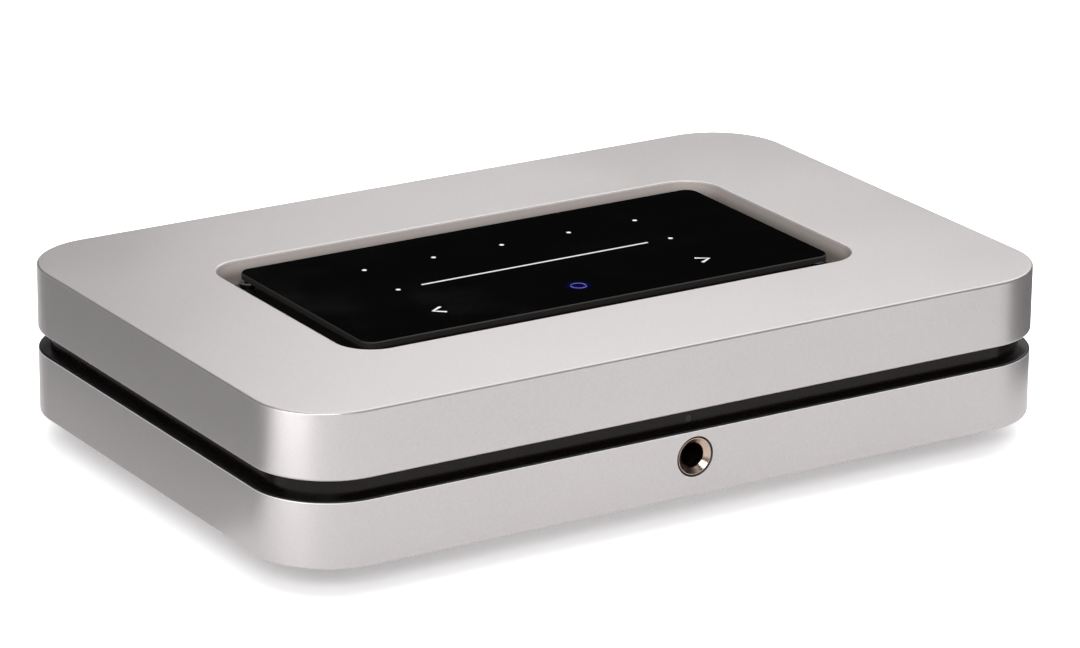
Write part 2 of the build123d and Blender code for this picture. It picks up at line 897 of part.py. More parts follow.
def make_board_spacers():
    """Round spacers that carry both boards."""
    return [post(x, y, spacer_radius, floor_level, board_bottom)
            - post(x, y, board_screw_radius + slip, floor_level - overrun, board_bottom + overrun)
            for x, y in spacer_places]


def make_board_screws():
    """Screws down through the boards into the spacers."""
    return [screw(x, y, board_top, False, board_screw_radius, board_thickness + board_screw_grip,
                  board_screw_head_radius, board_screw_head_height) for x, y in spacer_places]


def make_heat_sink():
    """Base plate with upright fins."""
    base_level = board_top + processor_height
    sink = brick(processor_x, processor_y, base_level, sink_length, sink_width, sink_base)
    pitch = (sink_length - sink_fin_thickness) / (sink_fin_count - 1)
    for step in range(sink_fin_count):
        x = processor_x - (sink_length - sink_fin_thickness) / 2 + step * pitch
        sink += brick(x, processor_y, base_level + sink_base, sink_fin_thickness, sink_width,
                      sink_height - sink_base)
    return sink


def flat_chip(x, y, length, width, height):
    """Chip with a row of leads along its two long sides."""
    body = brick(x, y, board_top, length, width, height)
    lead_count = int((length - lead_pitch) / lead_pitch)
    for step in range(lead_count):
        lead_x = x + (step - (lead_count - 1) / 2) * lead_pitch
        body += brick(lead_x, y, board_top, lead_width, width + 2 * lead_reach, height / 2)
    return body


def make_memory_chips():
    """Two memory chips beside the processor."""
    return [flat_chip(memory_x, processor_y + side * memory_pitch / 2, memory_length, memory_width,
                      memory_height) for side in (-1, 1)]


def main_place(x_share, y_share):
    """Place on the main board, by its shares of the board's length and depth."""
    return (main_left + x_share * (main_right - main_left), main_front + y_share * (main_back - main_front))


def make_board_chips():
    """Converter, amplifier, network and input chips."""
    chips = []
    for x_share, y_share in board_chip_shares:
        x, y = main_place(x_share, y_share)
        chips.append(flat_chip(x, y, small_chip_size, small_chip_size, small_chip_height))
    return chips


def make_wireless_can():
    """Screening can of the wireless module, with a shallow rim."""
    can = brick(wireless_x, wireless_y, board_top, wireless_length, wireless_width, wireless_height)
    return chamfer(can.faces().sort_by(Axis.Z)[-1].edges(), wireless_height * can_chamfer_share)


def make_film_capacitors():
    """Two rows of box capacitors in the audio stage."""
    return [brick(film_x + column * film_pitch + film_width, film_y + row * film_row_gap, board_top,
                  film_width, film_length, film_height)
            for row in range(2) for column in range(film_count)]


def round_can(x, y, radius, height):
    """Upright electrolytic capacitor with the rolled bead near its foot."""
    can = post(x, y, radius, board_top, board_top + height)
    bead = post(x, y, radius + overrun, board_top + can_bead_height, board_top + 2 * can_bead_height)
    bead -= post(x, y, radius - can_bead_depth, board_top, board_top + height)
    return can - bead


def make_electrolytic_capacitors():
    """A row along the left edge of the main board and a row along the front of the power board."""
    audio = [round_can(can_x, can_y + step * can_pitch, can_radius, can_height)
             for step in range(can_count)]
    first = transformer_x - can_pitch
    supply_y = power_front + can_radius + spacer_inset
    supply = [round_can(first + step * can_pitch, supply_y, can_radius, can_height)
              for step in range(can_count - 1)]
    return audio + supply


def make_choke_coils():
    """Moulded choke coils of the voltage converters."""
    return [slab(coil_size, coil_size, coil_corner, board_top, board_top + coil_height,
                 coil_x, coil_y + step * coil_pitch) for step in range(coil_count)]


def make_chip_parts():
    """Small surface parts in two fields."""
    parts = []
    for x_share, back_inset in ((tiny_left_share, tiny_left_back_inset),
                                (tiny_middle_share, tiny_middle_back_inset)):
        x = main_left + x_share * (main_right - main_left)
        y = main_back - back_inset
        for column in range(tiny_columns):
            for row in range(tiny_rows):
                parts.append(brick(x + column * tiny_pitch, y + row * tiny_pitch, board_top, tiny_width,
                                   tiny_length, tiny_height))
    return parts


def make_mains_inlet():
    """Two-pole inlet with a figure-eight mouth."""
    level = board_top + inlet_height / 2
    body = brick(inlet_x, socket_face - inlet_depth / 2, board_top, inlet_width, inlet_depth, inlet_height)
    mouth_back = socket_face - inlet_sink
    for side in (-1, 1):
        x = inlet_x + side * inlet_pin_pitch / 2
        body -= rod(x, level, inlet_lobe_radius, mouth_back, socket_face + overrun)
    body -= block(inlet_x - inlet_pin_pitch / 2, inlet_x + inlet_pin_pitch / 2, mouth_back,
                  socket_face + overrun, level - inlet_web / 2, level + inlet_web / 2)
    for side in (-1, 1):
        x = inlet_x + side * inlet_pin_pitch / 2
        body -= rod(x, level, inlet_pin_radius + slip, mouth_back - inlet_tag_length, mouth_back + overrun)
    return body


def make_mains_pins():
    """Round-nosed contact pins, set in the inlet's back wall."""
    level = board_top + inlet_height / 2
    mouth_back = socket_face - inlet_sink
    pins = []
    for side in (-1, 1):
        x = inlet_x + side * inlet_pin_pitch / 2
        pin = rod(x, level, inlet_pin_radius, mouth_back - inlet_tag_length + slip,
                  mouth_back + inlet_pin_length)
        pins.append(fillet(pin.faces().sort_by(Axis.Y)[-1].edges(), inlet_pin_radius * pin_nose_share))
    return pins


def make_lan_jack():
    """Network socket with its stepped port, the latch notch below."""
    body = brick(lan_x, socket_face - lan_depth / 2, board_top, lan_width, lan_depth, lan_height)
    port_top = board_top + lan_height - lan_roof
    port_bottom = port_top - lan_port_height
    back = socket_face - lan_port_depth
    body -= block(lan_x - lan_port_width / 2, lan_x + lan_port_width / 2, back, socket_face + overrun,
                  port_bottom, port_top)
    body -= block(lan_x - lan_latch_width / 2, lan_x + lan_latch_width / 2, back, socket_face + overrun,
                  port_bottom - lan_latch_height, port_bottom + overrun)
    return body


def make_lan_contacts():
    """Eight contact wires along the roof of the port."""
    port_top = board_top + lan_height - lan_roof
    back = socket_face - lan_port_depth
    contacts = []
    for step in range(lan_contact_count):
        x = lan_x + (step - (lan_contact_count - 1) / 2) * lan_contact_pitch
        contacts.append(block(x - lan_contact_width / 2, x + lan_contact_width / 2, back,
                              back + lan_contact_length, port_top - lan_contact_height, port_top))
    return contacts


def make_usb_shell():
    """Folded steel shell, open at the back too."""
    shell = brick(usb_x, socket_face - usb_depth / 2, board_top, usb_width, usb_depth, usb_height)
    return shell - brick(usb_x, socket_face - usb_depth / 2, board_top + usb_shell, usb_width - 2 * usb_shell,
                         usb_depth + 2 * overrun, usb_height - 2 * usb_shell)


def make_usb_tongue():
    """Insulator block at the back of the shell with the contact tongue."""
    back = socket_face - usb_depth
    inner = usb_depth - usb_tongue_length - usb_mouth_room
    base = brick(usb_x, back + inner / 2, board_top + usb_shell, usb_width - 2 * usb_shell, inner,
                 usb_height - 2 * usb_shell)
    tongue_top = board_top + usb_height - usb_shell - usb_tongue_drop
    tongue = block(usb_x - usb_tongue_width / 2, usb_x + usb_tongue_width / 2, back,
                   back + inner + usb_tongue_length, tongue_top - usb_tongue_height, tongue_top)
    return base + tongue


def hdmi_outline(inset):
    """Plug outline with cut lower corners, drawn in by the inset."""
    half = hdmi_width / 2 - inset
    low = inset
    high = hdmi_height - inset
    return Polyline((-half, high), (half, high), (half, low + hdmi_chamfer),
                    (half - hdmi_chamfer, low), (-half + hdmi_chamfer, low),
                    (-half, low + hdmi_chamfer), (-half, high))


def hdmi_prism(inset, front, back):
    """The outline as a solid along Y."""
    face = make_face(Plane(origin=(hdmi_x, front, board_top), x_dir=(1, 0, 0), z_dir=(0, -1, 0))
                     * hdmi_outline(inset))
    return extrude(face, back - front, dir=(0, 1, 0))


def make_hdmi_shell():
    """Folded steel shell."""
    return hdmi_prism(0, socket_face - hdmi_depth, socket_face) - hdmi_prism(
        hdmi_shell, socket_face - hdmi_depth - overrun, socket_face + overrun)


def make_hdmi_tongue():
    """Insulator block and contact tongue."""
    back = socket_face - hdmi_depth
    inner = hdmi_depth - hdmi_tongue_length - hdmi_mouth_room
    base = hdmi_prism(hdmi_shell, back, back + inner)
    middle = board_top + hdmi_height / 2 + hdmi_tongue_height / 2
    tongue = block(hdmi_x - hdmi_tongue_width / 2, hdmi_x + hdmi_tongue_width / 2, back,
                   back + inner + hdmi_tongue_length, middle - hdmi_tongue_height / 2,
                   middle + hdmi_tongue_height / 2)
    return base + tongue


shutter_pivot_y = socket_face - optical_lip_thickness - shutter_gap - shutter_thickness / 2
chamber_bottom = board_top + optical_wall
chamber_top = board_top + optical_height - optical_wall
shutter_pivot_z = chamber_top - shutter_gap - shutter_thickness / 2
chamber_half_width = optical_width / 2 - optical_wall


def make_optical_socket():
    """Box with the shutter's chamber, a low lip in front of it and the eye in its back wall."""
    body = brick(optical_x, socket_face - optical_depth / 2, board_top, optical_width, optical_depth,
                 optical_height)
    chamber_back = socket_face - optical_lip_thickness - optical_chamber
    body -= block(optical_x - chamber_half_width, optical_x + chamber_half_width, chamber_back,
                  socket_face - optical_lip_thickness, chamber_bottom, chamber_top)
    body -= block(optical_x - chamber_half_width, optical_x + chamber_half_width,
                  socket_face - optical_lip_thickness - overrun, socket_face + overrun,
                  chamber_bottom + optical_lip, chamber_top - optical_lip)
    eye_level = (chamber_bottom + chamber_top) / 2
    body -= rod(optical_x, eye_level, optical_eye_radius, socket_face - optical_depth - overrun,
                chamber_back + overrun)
    pin_half = chamber_half_width + shutter_pin_reach + slip
    pin_hole = Rot(0, 90, 0) * Cylinder(shutter_pin_radius + slip, 2 * pin_half)
    return body - Pos(optical_x, shutter_pivot_y, shutter_pivot_z) * pin_hole


def make_optical_shutter():
    """Flap that hangs from its pin and swings inwards when a plug enters."""
    half = chamber_half_width - shutter_gap
    flap_bottom = chamber_bottom + shutter_gap
    flap = block(optical_x - half, optical_x + half, shutter_pivot_y - shutter_thickness / 2,
                 shutter_pivot_y + shutter_thickness / 2, flap_bottom, shutter_pivot_z)
    knuckle = Rot(0, 90, 0) * Cylinder(shutter_thickness / 2, 2 * half)
    pin = Rot(0, 90, 0) * Cylinder(shutter_pin_radius, 2 * (chamber_half_width + shutter_pin_reach))
    return flap + Pos(optical_x, shutter_pivot_y, shutter_pivot_z) * (knuckle + pin)


def make_mini_jack():
    """Small round socket."""
    level = board_top + mini_height / 2
    body = block(mini_x - mini_width / 2, mini_x + mini_width / 2, bay_back - slip - mini_depth,
                 bay_back - slip, board_top, board_top + mini_height)
    body += rod(mini_x, level, mini_collar_radius, bay_back - slip - overrun, socket_face)
    return body - rod(mini_x, level, mini_bore_radius, socket_face - mini_bore_depth,
                      socket_face + overrun)


phono_block_front = bay_back - slip - phono_block_depth


def make_phono_block():
    """Moulded block that holds the phono sleeves."""
    xs = phono_xs()
    body = block(xs[-1] - phono_block_margin, xs[0] + phono_block_margin, phono_block_front,
                 bay_back - slip, board_top, board_top + phono_block_height)
    for x in xs:
        body -= rod(x, phono_level, phono_sleeve_radius + slip, bay_back - slip - phono_seat_depth,
                    bay_back + overrun)
    return body


def make_phono_sleeves():
    """Outer contacts: plain tubes that stand out of the bay's plate."""
    back = bay_back - slip - phono_seat_depth
    return [rod(x, phono_level, phono_sleeve_radius, back, bay_face + phono_sleeve_reach)
            - rod(x, phono_level, phono_sleeve_radius - phono_sleeve_wall, back - overrun,
                  bay_face + phono_sleeve_reach + overrun) for x in phono_xs()]


def make_phono_inserts():
    """Insulators inside the sleeves, with the hole for the plug's pin."""
    back = bay_back - slip - phono_seat_depth
    front = bay_face + phono_sleeve_reach - phono_insert_sink
    radius = phono_sleeve_radius - phono_sleeve_wall - slip
    return [rod(x, phono_level, radius, back, front)
            - rod(x, phono_level, phono_bore_radius, back + phono_seat_depth, front + overrun)
            for x in phono_xs()]


bushing_back = front_inside + bushing_seat_depth
leaf_plane = jack_body_bore_radius + leaf_stand_off
slot_outer = leaf_plane + leaf_thickness + leaf_travel_room


def leaf_slot(side, start):
    """Room for one contact spring in the wall of the headphone socket, with the seat of its eye."""
    eye_y = front_inside + start
    end_y = eye_y + leaf_straight + leaf_nose_length + leaf_slot_gap
    inner = side * jack_body_bore_radius / 2
    outer = side * slot_outer
    height = leaf_height / 2 + leaf_slot_gap
    slot = block(min(inner, outer), max(inner, outer), eye_y, end_y, jack_height - height,
                 jack_height + height)
    eye = post(side * (leaf_plane + leaf_thickness / 2), eye_y, leaf_eye_radius + slip,
               jack_height - height, jack_height + height)
    return slot + eye


def make_headphone_body():
    """Socket body between the case front and the main board, with the slots of both springs."""
    half = jack_body_width / 2
    back = front_inside + jack_body_length
    body = block(-half, half, front_inside, back, jack_height - jack_body_height / 2,
                 jack_height + jack_body_height / 2)
    ear_front = front_inside + jack_ear_start
    for side in (-1, 1):
        ear_outer = side * (half + jack_ear_reach)
        body += block(min(side * half, ear_outer), max(side * half, ear_outer), ear_front,
                      ear_front + jack_ear_length, board_top, board_top + jack_ear_thickness)
    body -= rod(0, jack_height, bushing_radius + slip, front_inside - overrun, bushing_back)
    body -= rod(0, jack_height, jack_body_bore_radius, front_inside, back - jack_back_wall)
    body -= leaf_slot(1, ring_leaf_start)
    body -= leaf_slot(-1, tip_leaf_start)
    return body


def make_headphone_bushing():
    """Bright metal bushing with a countersunk mouth, set back a little in its hole."""
    front = front_face + jack_sink
    bushing = rod(0, jack_height, bushing_radius, front, bushing_back)
    bushing -= rod(0, jack_height, bushing_bore_radius, front - overrun, bushing_back + overrun)
    mouth = Cone(bushing_mouth_radius, bushing_bore_radius, bushing_mouth_depth, align=standing)
    return bushing - Pos(0, front, jack_height) * Rot(-90, 0, 0) * mouth


def make_contact_leaf(side, start):
    """Bent strip spring with a rolled eye, its nose standing into the bore."""
    eye_y = front_inside + start
    nose_start = eye_y + leaf_straight
    nose_tip = nose_start + leaf_nose_length / 2
    nose_end = nose_start + leaf_nose_length
    inner = leaf_plane
    outer = leaf_plane + leaf_thickness
    outline = Polyline((side * inner, eye_y), (side * inner, nose_start),
                       (side * (inner - leaf_nose_depth), nose_tip), (side * inner, nose_end),
                       (side * outer, nose_end), (side * (outer - leaf_nose_depth), nose_tip),
                       (side * outer, nose_start), (side * outer, eye_y), (side * inner, eye_y))
    strip = extrude(make_face(outline), leaf_height)
    strip = Pos(0, 0, jack_height - leaf_height / 2) * strip
    eye = post(side * (leaf_plane + leaf_thickness / 2), eye_y, leaf_eye_radius,
               jack_height - leaf_height / 2, jack_height + leaf_height / 2)
    return strip + eye


def make_fuse():
    """Tube fuse lying in its clips: the tube and two caps."""
    level = board_top + fuse_radius
    left = fuse_x - fuse_length / 2
    tube = Pos(left, fuse_y, level) * Rot(0, 90, 0) * Cylinder(
        fuse_radius - fuse_cap_wall, fuse_length, align=standing)
    caps = [Pos(x, fuse_y, level) * Rot(0, 90, 0) * Cylinder(fuse_radius, fuse_cap_length, align=standing)
            for x in (left, left + fuse_length - fuse_cap_length)]
    return tube + caps[0] + caps[1]


def make_suppression_capacitor():
    """Boxed mains capacitor."""
    box = brick(suppressor_x, suppressor_y, board_top, suppressor_length, suppressor_width,
                suppressor_height)
    return fillet(box.edges().filter_by(Axis.Z) + box.faces().sort_by(Axis.Z)[-1].edges(),
                  suppressor_round)


def make_bulk_capacitors():
    """Two large cans of the mains side."""
    return [round_can(bulk_x, bulk_y - step * bulk_pitch, bulk_radius, bulk_height) for step in range(2)]


def make_transformer_core():
    """Ferrite frame with a middle leg and a window on each side."""
    core = brick(transformer_x, transformer_y, board_top, core_length, core_width, core_height)
    window_shift = core_middle_leg / 2 + core_window / 2
    for side in (-1, 1):
        core -= brick(transformer_x + side * window_shift, transformer_y, board_top + core_yoke,
                      core_window, core_width + 2 * overrun, core_height - 2 * core_yoke)
    return core


def make_transformer_coil():
    """Taped winding round the middle leg, resting on the lower yoke."""
    length = core_middle_leg + 2 * (core_window - coil_gap)
    width = core_width + 2 * coil_overhang
    height = core_height - 2 * core_yoke - coil_gap
    coil = slab(length, width, coil_round, board_top + core_yoke, board_top + core_yoke + height,
                transformer_x, transformer_y)
    return coil - brick(transformer_x, transformer_y, board_top, core_middle_leg + 2 * coil_gap,
                        core_width + 2 * coil_gap, core_height)


lead_main_x = main_right - lead_socket_inset
lead_power_x = power_left + lead_socket_inset
lead_base = board_top + lead_socket_height


def lead_wire_ys():
    """Places of the wires across the lead."""
    return [lead_y + (step - (lead_wire_count - 1) / 2) * lead_wire_pitch for step in range(lead_wire_count)]


def make_lead_sockets():
    """Upright sockets at both ends of the power lead."""
    length = (lead_wire_count - 1) * lead_wire_pitch + 2 * (lead_wire_radius + lead_socket_margin)
    return [brick(x, lead_y, board_top, lead_socket_width, length, lead_socket_height)
            for x in (lead_main_x, lead_power_x)]


def make_power_lead():
    """Four wires in an arch between the sockets."""
    wires = []
    for y in lead_wire_ys():
        route = FilletPolyline((lead_main_x, y, lead_base), (lead_main_x, y, lead_base + lead_wire_rise),
                               (lead_power_x, y, lead_base + lead_wire_rise),
                               (lead_power_x, y, lead_base), radius=lead_wire_bend)
        section = Plane(origin=route @ 0, z_dir=route % 0) * Circle(lead_wire_radius)
        wires.append(sweep(section, path=route))
    return wires


antenna_middle = waist_middle


def make_antennas():
    """Antenna boards glued to the inside of the band, where radio passes."""
    return [block(x - antenna_length / 2, x + antenna_length / 2, band_inside,
                  band_inside + antenna_thickness, antenna_middle - antenna_height / 2,
                  antenna_middle + antenna_height / 2) for x in (-antenna_x, antenna_x)]


coax_plug_level = board_top + wireless_height
coax_level = coax_plug_level + coax_plug_height / 2


def coax_lead(feed_x, plug_x):
    """Thin lead from an antenna to the wireless can, with the plug at its end."""
    feed_y = band_inside + antenna_thickness
    lane_y = feed_y + coax_reach
    plug_y = wireless_y - wireless_width / 2 + 2 * coax_plug_radius
    route = FilletPolyline((feed_x, feed_y, antenna_middle), (feed_x, lane_y, antenna_middle),
                           (plug_x, lane_y, antenna_middle), (plug_x, lane_y + coax_reach, coax_level),
                           (plug_x, plug_y, coax_level), radius=coax_bend)
    section = Plane(origin=route @ 0, z_dir=route % 0) * Circle(coax_radius)
    return sweep(section, path=route) + post(plug_x, plug_y, coax_plug_radius, coax_plug_level,
                                             coax_plug_level + coax_plug_height)


def make_antenna_leads():
    """One lead to each antenna."""
    left_feed = -antenna_x - antenna_length / 2 + antenna_feed_inset
    right_feed = antenna_x - antenna_length / 2 + antenna_feed_inset
    return [coax_lead(left_feed, wireless_x - coax_plug_pitch / 2),
            coax_lead(right_feed, wireless_x + coax_plug_pitch / 2)]


def make_feet():
    """Tapered rubber feet with a sunk hole for the screw."""
    feet = []
    for x, y in foot_places:
        foot = Pos(x, y, 0) * Cone(foot_tread_radius, foot_top_radius, foot_height, align=standing)
        foot = fillet(foot.faces().sort_by(Axis.Z)[0].edges(), foot_round)
        foot -= post(x, y, foot_screw_head_radius + fit_gap, -overrun, foot_screw_sink)
        foot -= post(x, y, foot_screw_radius + slip, -overrun, foot_height + overrun)
        feet.append(foot)
    return feet


def make_foot_screws():
    """Screws up through the feet into the case floor."""
    length = foot_height - foot_screw_sink + foot_screw_grip
    return [screw(x, y, foot_screw_sink, True, foot_screw_radius, length, foot_screw_head_radius,
                  foot_screw_head_height) for x, y in foot_places]


def make_case_screws():
    """Long screws up through the lower pillars into the upper ones."""
    seat = lower_bottom + case_screw_sink
    length = waist_middle + case_screw_grip - slip - seat
    return [screw(x, y, seat, True, case_screw_radius, length, case_screw_head_radius,
                  case_screw_head_height) for x, y in pillar_places]


save("lower_shell", make_lower_shell())
save("upper_shell", make_upper_shell())
save("waist_band", make_waist_band())
save("rear_panel", make_rear_panel())
save("rear_frame", make_rear_frame())
save("feet", *make_feet())
save("foot_screws", *make_foot_screws())
save("case_screws", *make_case_screws())
save("status_light_pipe", make_status_light_pipe())
save("receiver_board", make_receiver_board())
save("remote_receiver", make_remote_receiver())
save("well_tray", make_well_tray())
save("well_screws", *make_well_screws())
save("panel_carrier", make_panel_carrier())
save("touch_glass", make_touch_glass())
save("light_mask", make_light_mask())
save("touch_board", make_touch_board())
save("panel_lights", *make_panel_lights())
save("ribbon_sockets", *make_ribbon_sockets())
save("touch_ribbon", make_touch_ribbon())
save("main_board", make_main_board())
save("power_board", make_power_board())
save("power_insulator", make_power_insulator())
save("board_spacers", *make_board_spacers())
save("board_screws", *make_board_screws())
save("processor", brick(processor_x, processor_y, board_top, processor_size, processor_size,
                        processor_height))
save("heat_sink", make_heat_sink())
save("board_chips", *make_memory_chips(), *make_board_chips())
save("wireless_can", make_wireless_can())
save("film_capacitors", *make_film_capacitors())
save("electrolytic_capacitors", *make_electrolytic_capacitors())
save("choke_coils", *make_choke_coils())
save("chip_parts", *make_chip_parts())
save("mains_inlet", make_mains_inlet())
save("mains_pins", *make_mains_pins())
save("lan_jack", make_lan_jack())
save("lan_contacts", *make_lan_contacts())
save("usb_shell", make_usb_shell())
save("usb_tongue", make_usb_tongue())
save("hdmi_shell", make_hdmi_shell())
save("hdmi_tongue", make_hdmi_tongue())
save("optical_socket", make_optical_socket())
save("optical_shutter", make_optical_shutter())
save("mini_jack", make_mini_jack())
save("phono_block", make_phono_block())
save("phono_sleeves", *make_phono_sleeves())
save("phono_inserts", *make_phono_inserts())
save("headphone_body", make_headphone_body())
save("headphone_bushing", make_headphone_bushing())
save("ring_contact", make_contact_leaf(1, ring_leaf_start))
save("tip_contact", make_contact_leaf(-1, tip_leaf_start))
save("fuse", make_fuse())
save("suppression_capacitor", make_suppression_capacitor())
save("bulk_capacitors", *make_bulk_capacitors())
save("transformer_core", make_transformer_core())
save("transformer_coil", make_transformer_coil())
save("lead_sockets", *make_lead_sockets())
save("power_lead", *make_power_lead())
save("antennas", *make_antennas())
save("antenna_leads", *make_antenna_leads())
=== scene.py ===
"""Half-width network music streamer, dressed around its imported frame.

Metres, in the frame of the CAD part: X to the right as seen from the front, Y to the rear, Z up,
with the table at Z 0. The shapes come from the frame. This script adds the finishes, the lit marks
on the touch glass, the contact blades of two sockets, the floor, the lamps and the camera.
"""
import json
import math

import bpy
from mathutils import Matrix, Vector


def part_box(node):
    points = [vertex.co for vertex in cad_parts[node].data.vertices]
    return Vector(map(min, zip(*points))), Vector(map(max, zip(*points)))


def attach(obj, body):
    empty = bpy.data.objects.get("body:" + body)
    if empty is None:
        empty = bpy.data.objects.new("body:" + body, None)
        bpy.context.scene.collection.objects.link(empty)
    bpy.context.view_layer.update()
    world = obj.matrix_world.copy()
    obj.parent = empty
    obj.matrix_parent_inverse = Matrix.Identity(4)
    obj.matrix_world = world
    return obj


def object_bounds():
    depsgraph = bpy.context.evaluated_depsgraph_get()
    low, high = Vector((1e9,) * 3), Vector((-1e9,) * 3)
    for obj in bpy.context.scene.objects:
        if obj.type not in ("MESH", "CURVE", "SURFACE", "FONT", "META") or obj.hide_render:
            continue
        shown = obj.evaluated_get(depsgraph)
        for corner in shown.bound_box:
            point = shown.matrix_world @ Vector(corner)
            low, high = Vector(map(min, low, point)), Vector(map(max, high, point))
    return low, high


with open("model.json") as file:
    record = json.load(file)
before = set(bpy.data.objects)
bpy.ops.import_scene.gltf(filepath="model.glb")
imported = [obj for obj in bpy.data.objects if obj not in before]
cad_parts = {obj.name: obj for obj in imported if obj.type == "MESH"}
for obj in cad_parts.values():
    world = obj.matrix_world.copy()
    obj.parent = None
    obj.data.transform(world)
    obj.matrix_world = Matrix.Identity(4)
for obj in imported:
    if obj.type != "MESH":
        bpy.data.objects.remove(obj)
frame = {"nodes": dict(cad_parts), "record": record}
cad_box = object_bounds()
nodes = frame["nodes"]
bpy.ops.object.select_all(action="DESELECT")

MM = 0.001

# Places on the part that its finishes need, in millimetres
ledge_level = 24.2          # top of the ledge under the waist band
well_half = (75.0, 39.8)    # half length and half width of the well, with a margin
well_floor = 39.0
well_lip = 45.75
painted_gap_shade_width = 0.12         # painted shade: thin black ring for the gap round the headphone bushing
ring_middle = (-0.4, -20.6)
ring_radius = 1.9
halo_radius = 3.9
red_insert_places = (-50.0, -76.0)
insert_half = 6.0


# Colours and the node helper

def linear(hex_text):
    """Turns an sRGB hex value into the linear colour that a socket takes."""
    parts = []
    for start in (1, 3, 5):
        value = int(hex_text[start:start + 2], 16) / 255.0
        if value <= 0.04045:
            parts.append(value / 12.92)
        else:
            parts.append(((value + 0.055) / 1.055) ** 2.4)
    return (*parts, 1.0)


def set_inputs(tree, node, inputs):
    """Gives a node's inputs their values, or links them to the sockets given."""
    for key, value in inputs.items():
        if isinstance(value, bpy.types.NodeSocket):
            tree.links.new(value, node.inputs[key])
        else:
            node.inputs[key].default_value = value


def add(tree, kind, settings=None, inputs=None):
    """Adds one node. Settings are its properties, and inputs are values or sockets to link."""
    node = tree.nodes.new(kind)
    for name, value in (settings or {}).items():
        setattr(node, name, value)
    set_inputs(tree, node, inputs or {})
    return node


def every(size_mm):
    """Texture scale for a feature of this size in millimetres on Object coordinates."""
    return 1.0 / (size_mm * MM)


def between(low, high):
    """Middle and half width in metres of a span in millimetres, for a node that compares."""
    return {1: 0.5 * (low + high) * MM, 2: 0.5 * (high - low) * MM}


def new_material(name):
    """A new material with its tree, Object coordinates and shader."""
    finish = bpy.data.materials.new(name)
    finish.use_nodes = True
    tree = finish.node_tree
    tree.nodes.clear()
    place = add(tree, "ShaderNodeTexCoord").outputs["Object"]
    shader = add(tree, "ShaderNodeBsdfPrincipled")
    add(tree, "ShaderNodeOutputMaterial", inputs={"Surface": shader.outputs["BSDF"]})
    return finish, tree, place, shader


def grained(name, low, high, roughness, swing, grain_mm, depth_mm, **sockets):
    """A surface whose grain has a real size: its two colours drift in soft clouds and in the
    grain, its roughness swings with the grain, and the grain stands up by its real depth."""
    cloud_mm = 14.0
    finish, tree, place, shader = new_material(name)
    grain = add(tree, "ShaderNodeTexNoise", inputs={
        "Vector": place, "Scale": every(grain_mm), "Detail": 3.0, "Roughness": 0.55}).outputs["Fac"]
    cloud = add(tree, "ShaderNodeTexNoise", inputs={
        "Vector": place, "Scale": every(cloud_mm), "Detail": 4.0, "Roughness": 0.5}).outputs["Fac"]
    mixed = add(tree, "ShaderNodeMath", {"operation": "ADD"}, {0: grain, 1: cloud}).outputs[0]
    share = add(tree, "ShaderNodeMapRange", inputs={
        "Value": mixed, "From Min": 0.7, "From Max": 1.3}).outputs["Result"]
    colour = add(tree, "ShaderNodeMix", {"data_type": "RGBA"}, {
        "Factor": share, 6: linear(low), 7: linear(high)}).outputs[2]
    rough = add(tree, "ShaderNodeMapRange", inputs={
        "Value": mixed, "From Min": 0.7, "From Max": 1.3,
        "To Min": roughness - swing, "To Max": roughness + swing}).outputs["Result"]
    bump = add(tree, "ShaderNodeBump", inputs={
        "Height": grain, "Strength": 1.0, "Distance": depth_mm * MM}).outputs["Normal"]
    set_inputs(tree, shader, {"Base Color": colour, "Roughness": rough, "Normal": bump, **sockets})
    return finish


# Finishes

def turned_bushing():
    """Turned brass bushing under a warm nickel plate. A thin black ring at its rim is painted shade
    of the gap round it.
    """
    low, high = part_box("headphone_bushing")
    middle = Vector(((low[0] + high[0]) / 2, 0.0, (low[2] + high[2]) / 2))
    radius = (high[0] - low[0]) / 2
    finish, tree, place, shader = new_material("turned_warm_nickel_plate")
    grain = add(tree, "ShaderNodeTexNoise", inputs={
        "Vector": place, "Scale": every(0.4), "Detail": 3.0}).outputs["Fac"]
    plate = add(tree, "ShaderNodeMix", {"data_type": "RGBA"}, {
        "Factor": grain, 6: linear("#BCA493"), 7: linear("#CDB9AC")}).outputs[2]
    flat = add(tree, "ShaderNodeVectorMath", {"operation": "MULTIPLY"}, {
        0: place, 1: (1.0, 0.0, 1.0)}).outputs["Vector"]
    away = add(tree, "ShaderNodeVectorMath", {"operation": "DISTANCE"}, {
        0: flat, 1: middle}).outputs["Value"]
    # Painted shade: a thin black ring at the rim stands for the dark gap round the bushing
    painted_gap_shade = add(tree, "ShaderNodeMath", {"operation": "GREATER_THAN"}, {
        0: away, 1: radius - painted_gap_shade_width * MM}).outputs[0]
    colour = add(tree, "ShaderNodeMix", {"data_type": "RGBA"}, {
        "Factor": painted_gap_shade, 6: plate, 7: linear("#0A0706")}).outputs[2]
    metal = add(tree, "ShaderNodeMath", {"operation": "SUBTRACT"}, {0: 1.0, 1: painted_gap_shade}).outputs[0]
    rough = add(tree, "ShaderNodeMapRange", inputs={
        "Value": grain, "To Min": 0.16, "To Max": 0.26}).outputs["Result"]
    bump = add(tree, "ShaderNodeBump", inputs={
        "Height": grain, "Strength": 1.0, "Distance": 0.004 * MM}).outputs["Normal"]
    set_inputs(tree, shader, {
        "Base Color": colour, "Metallic": metal, "Roughness": rough, "Normal": bump})
    return finish


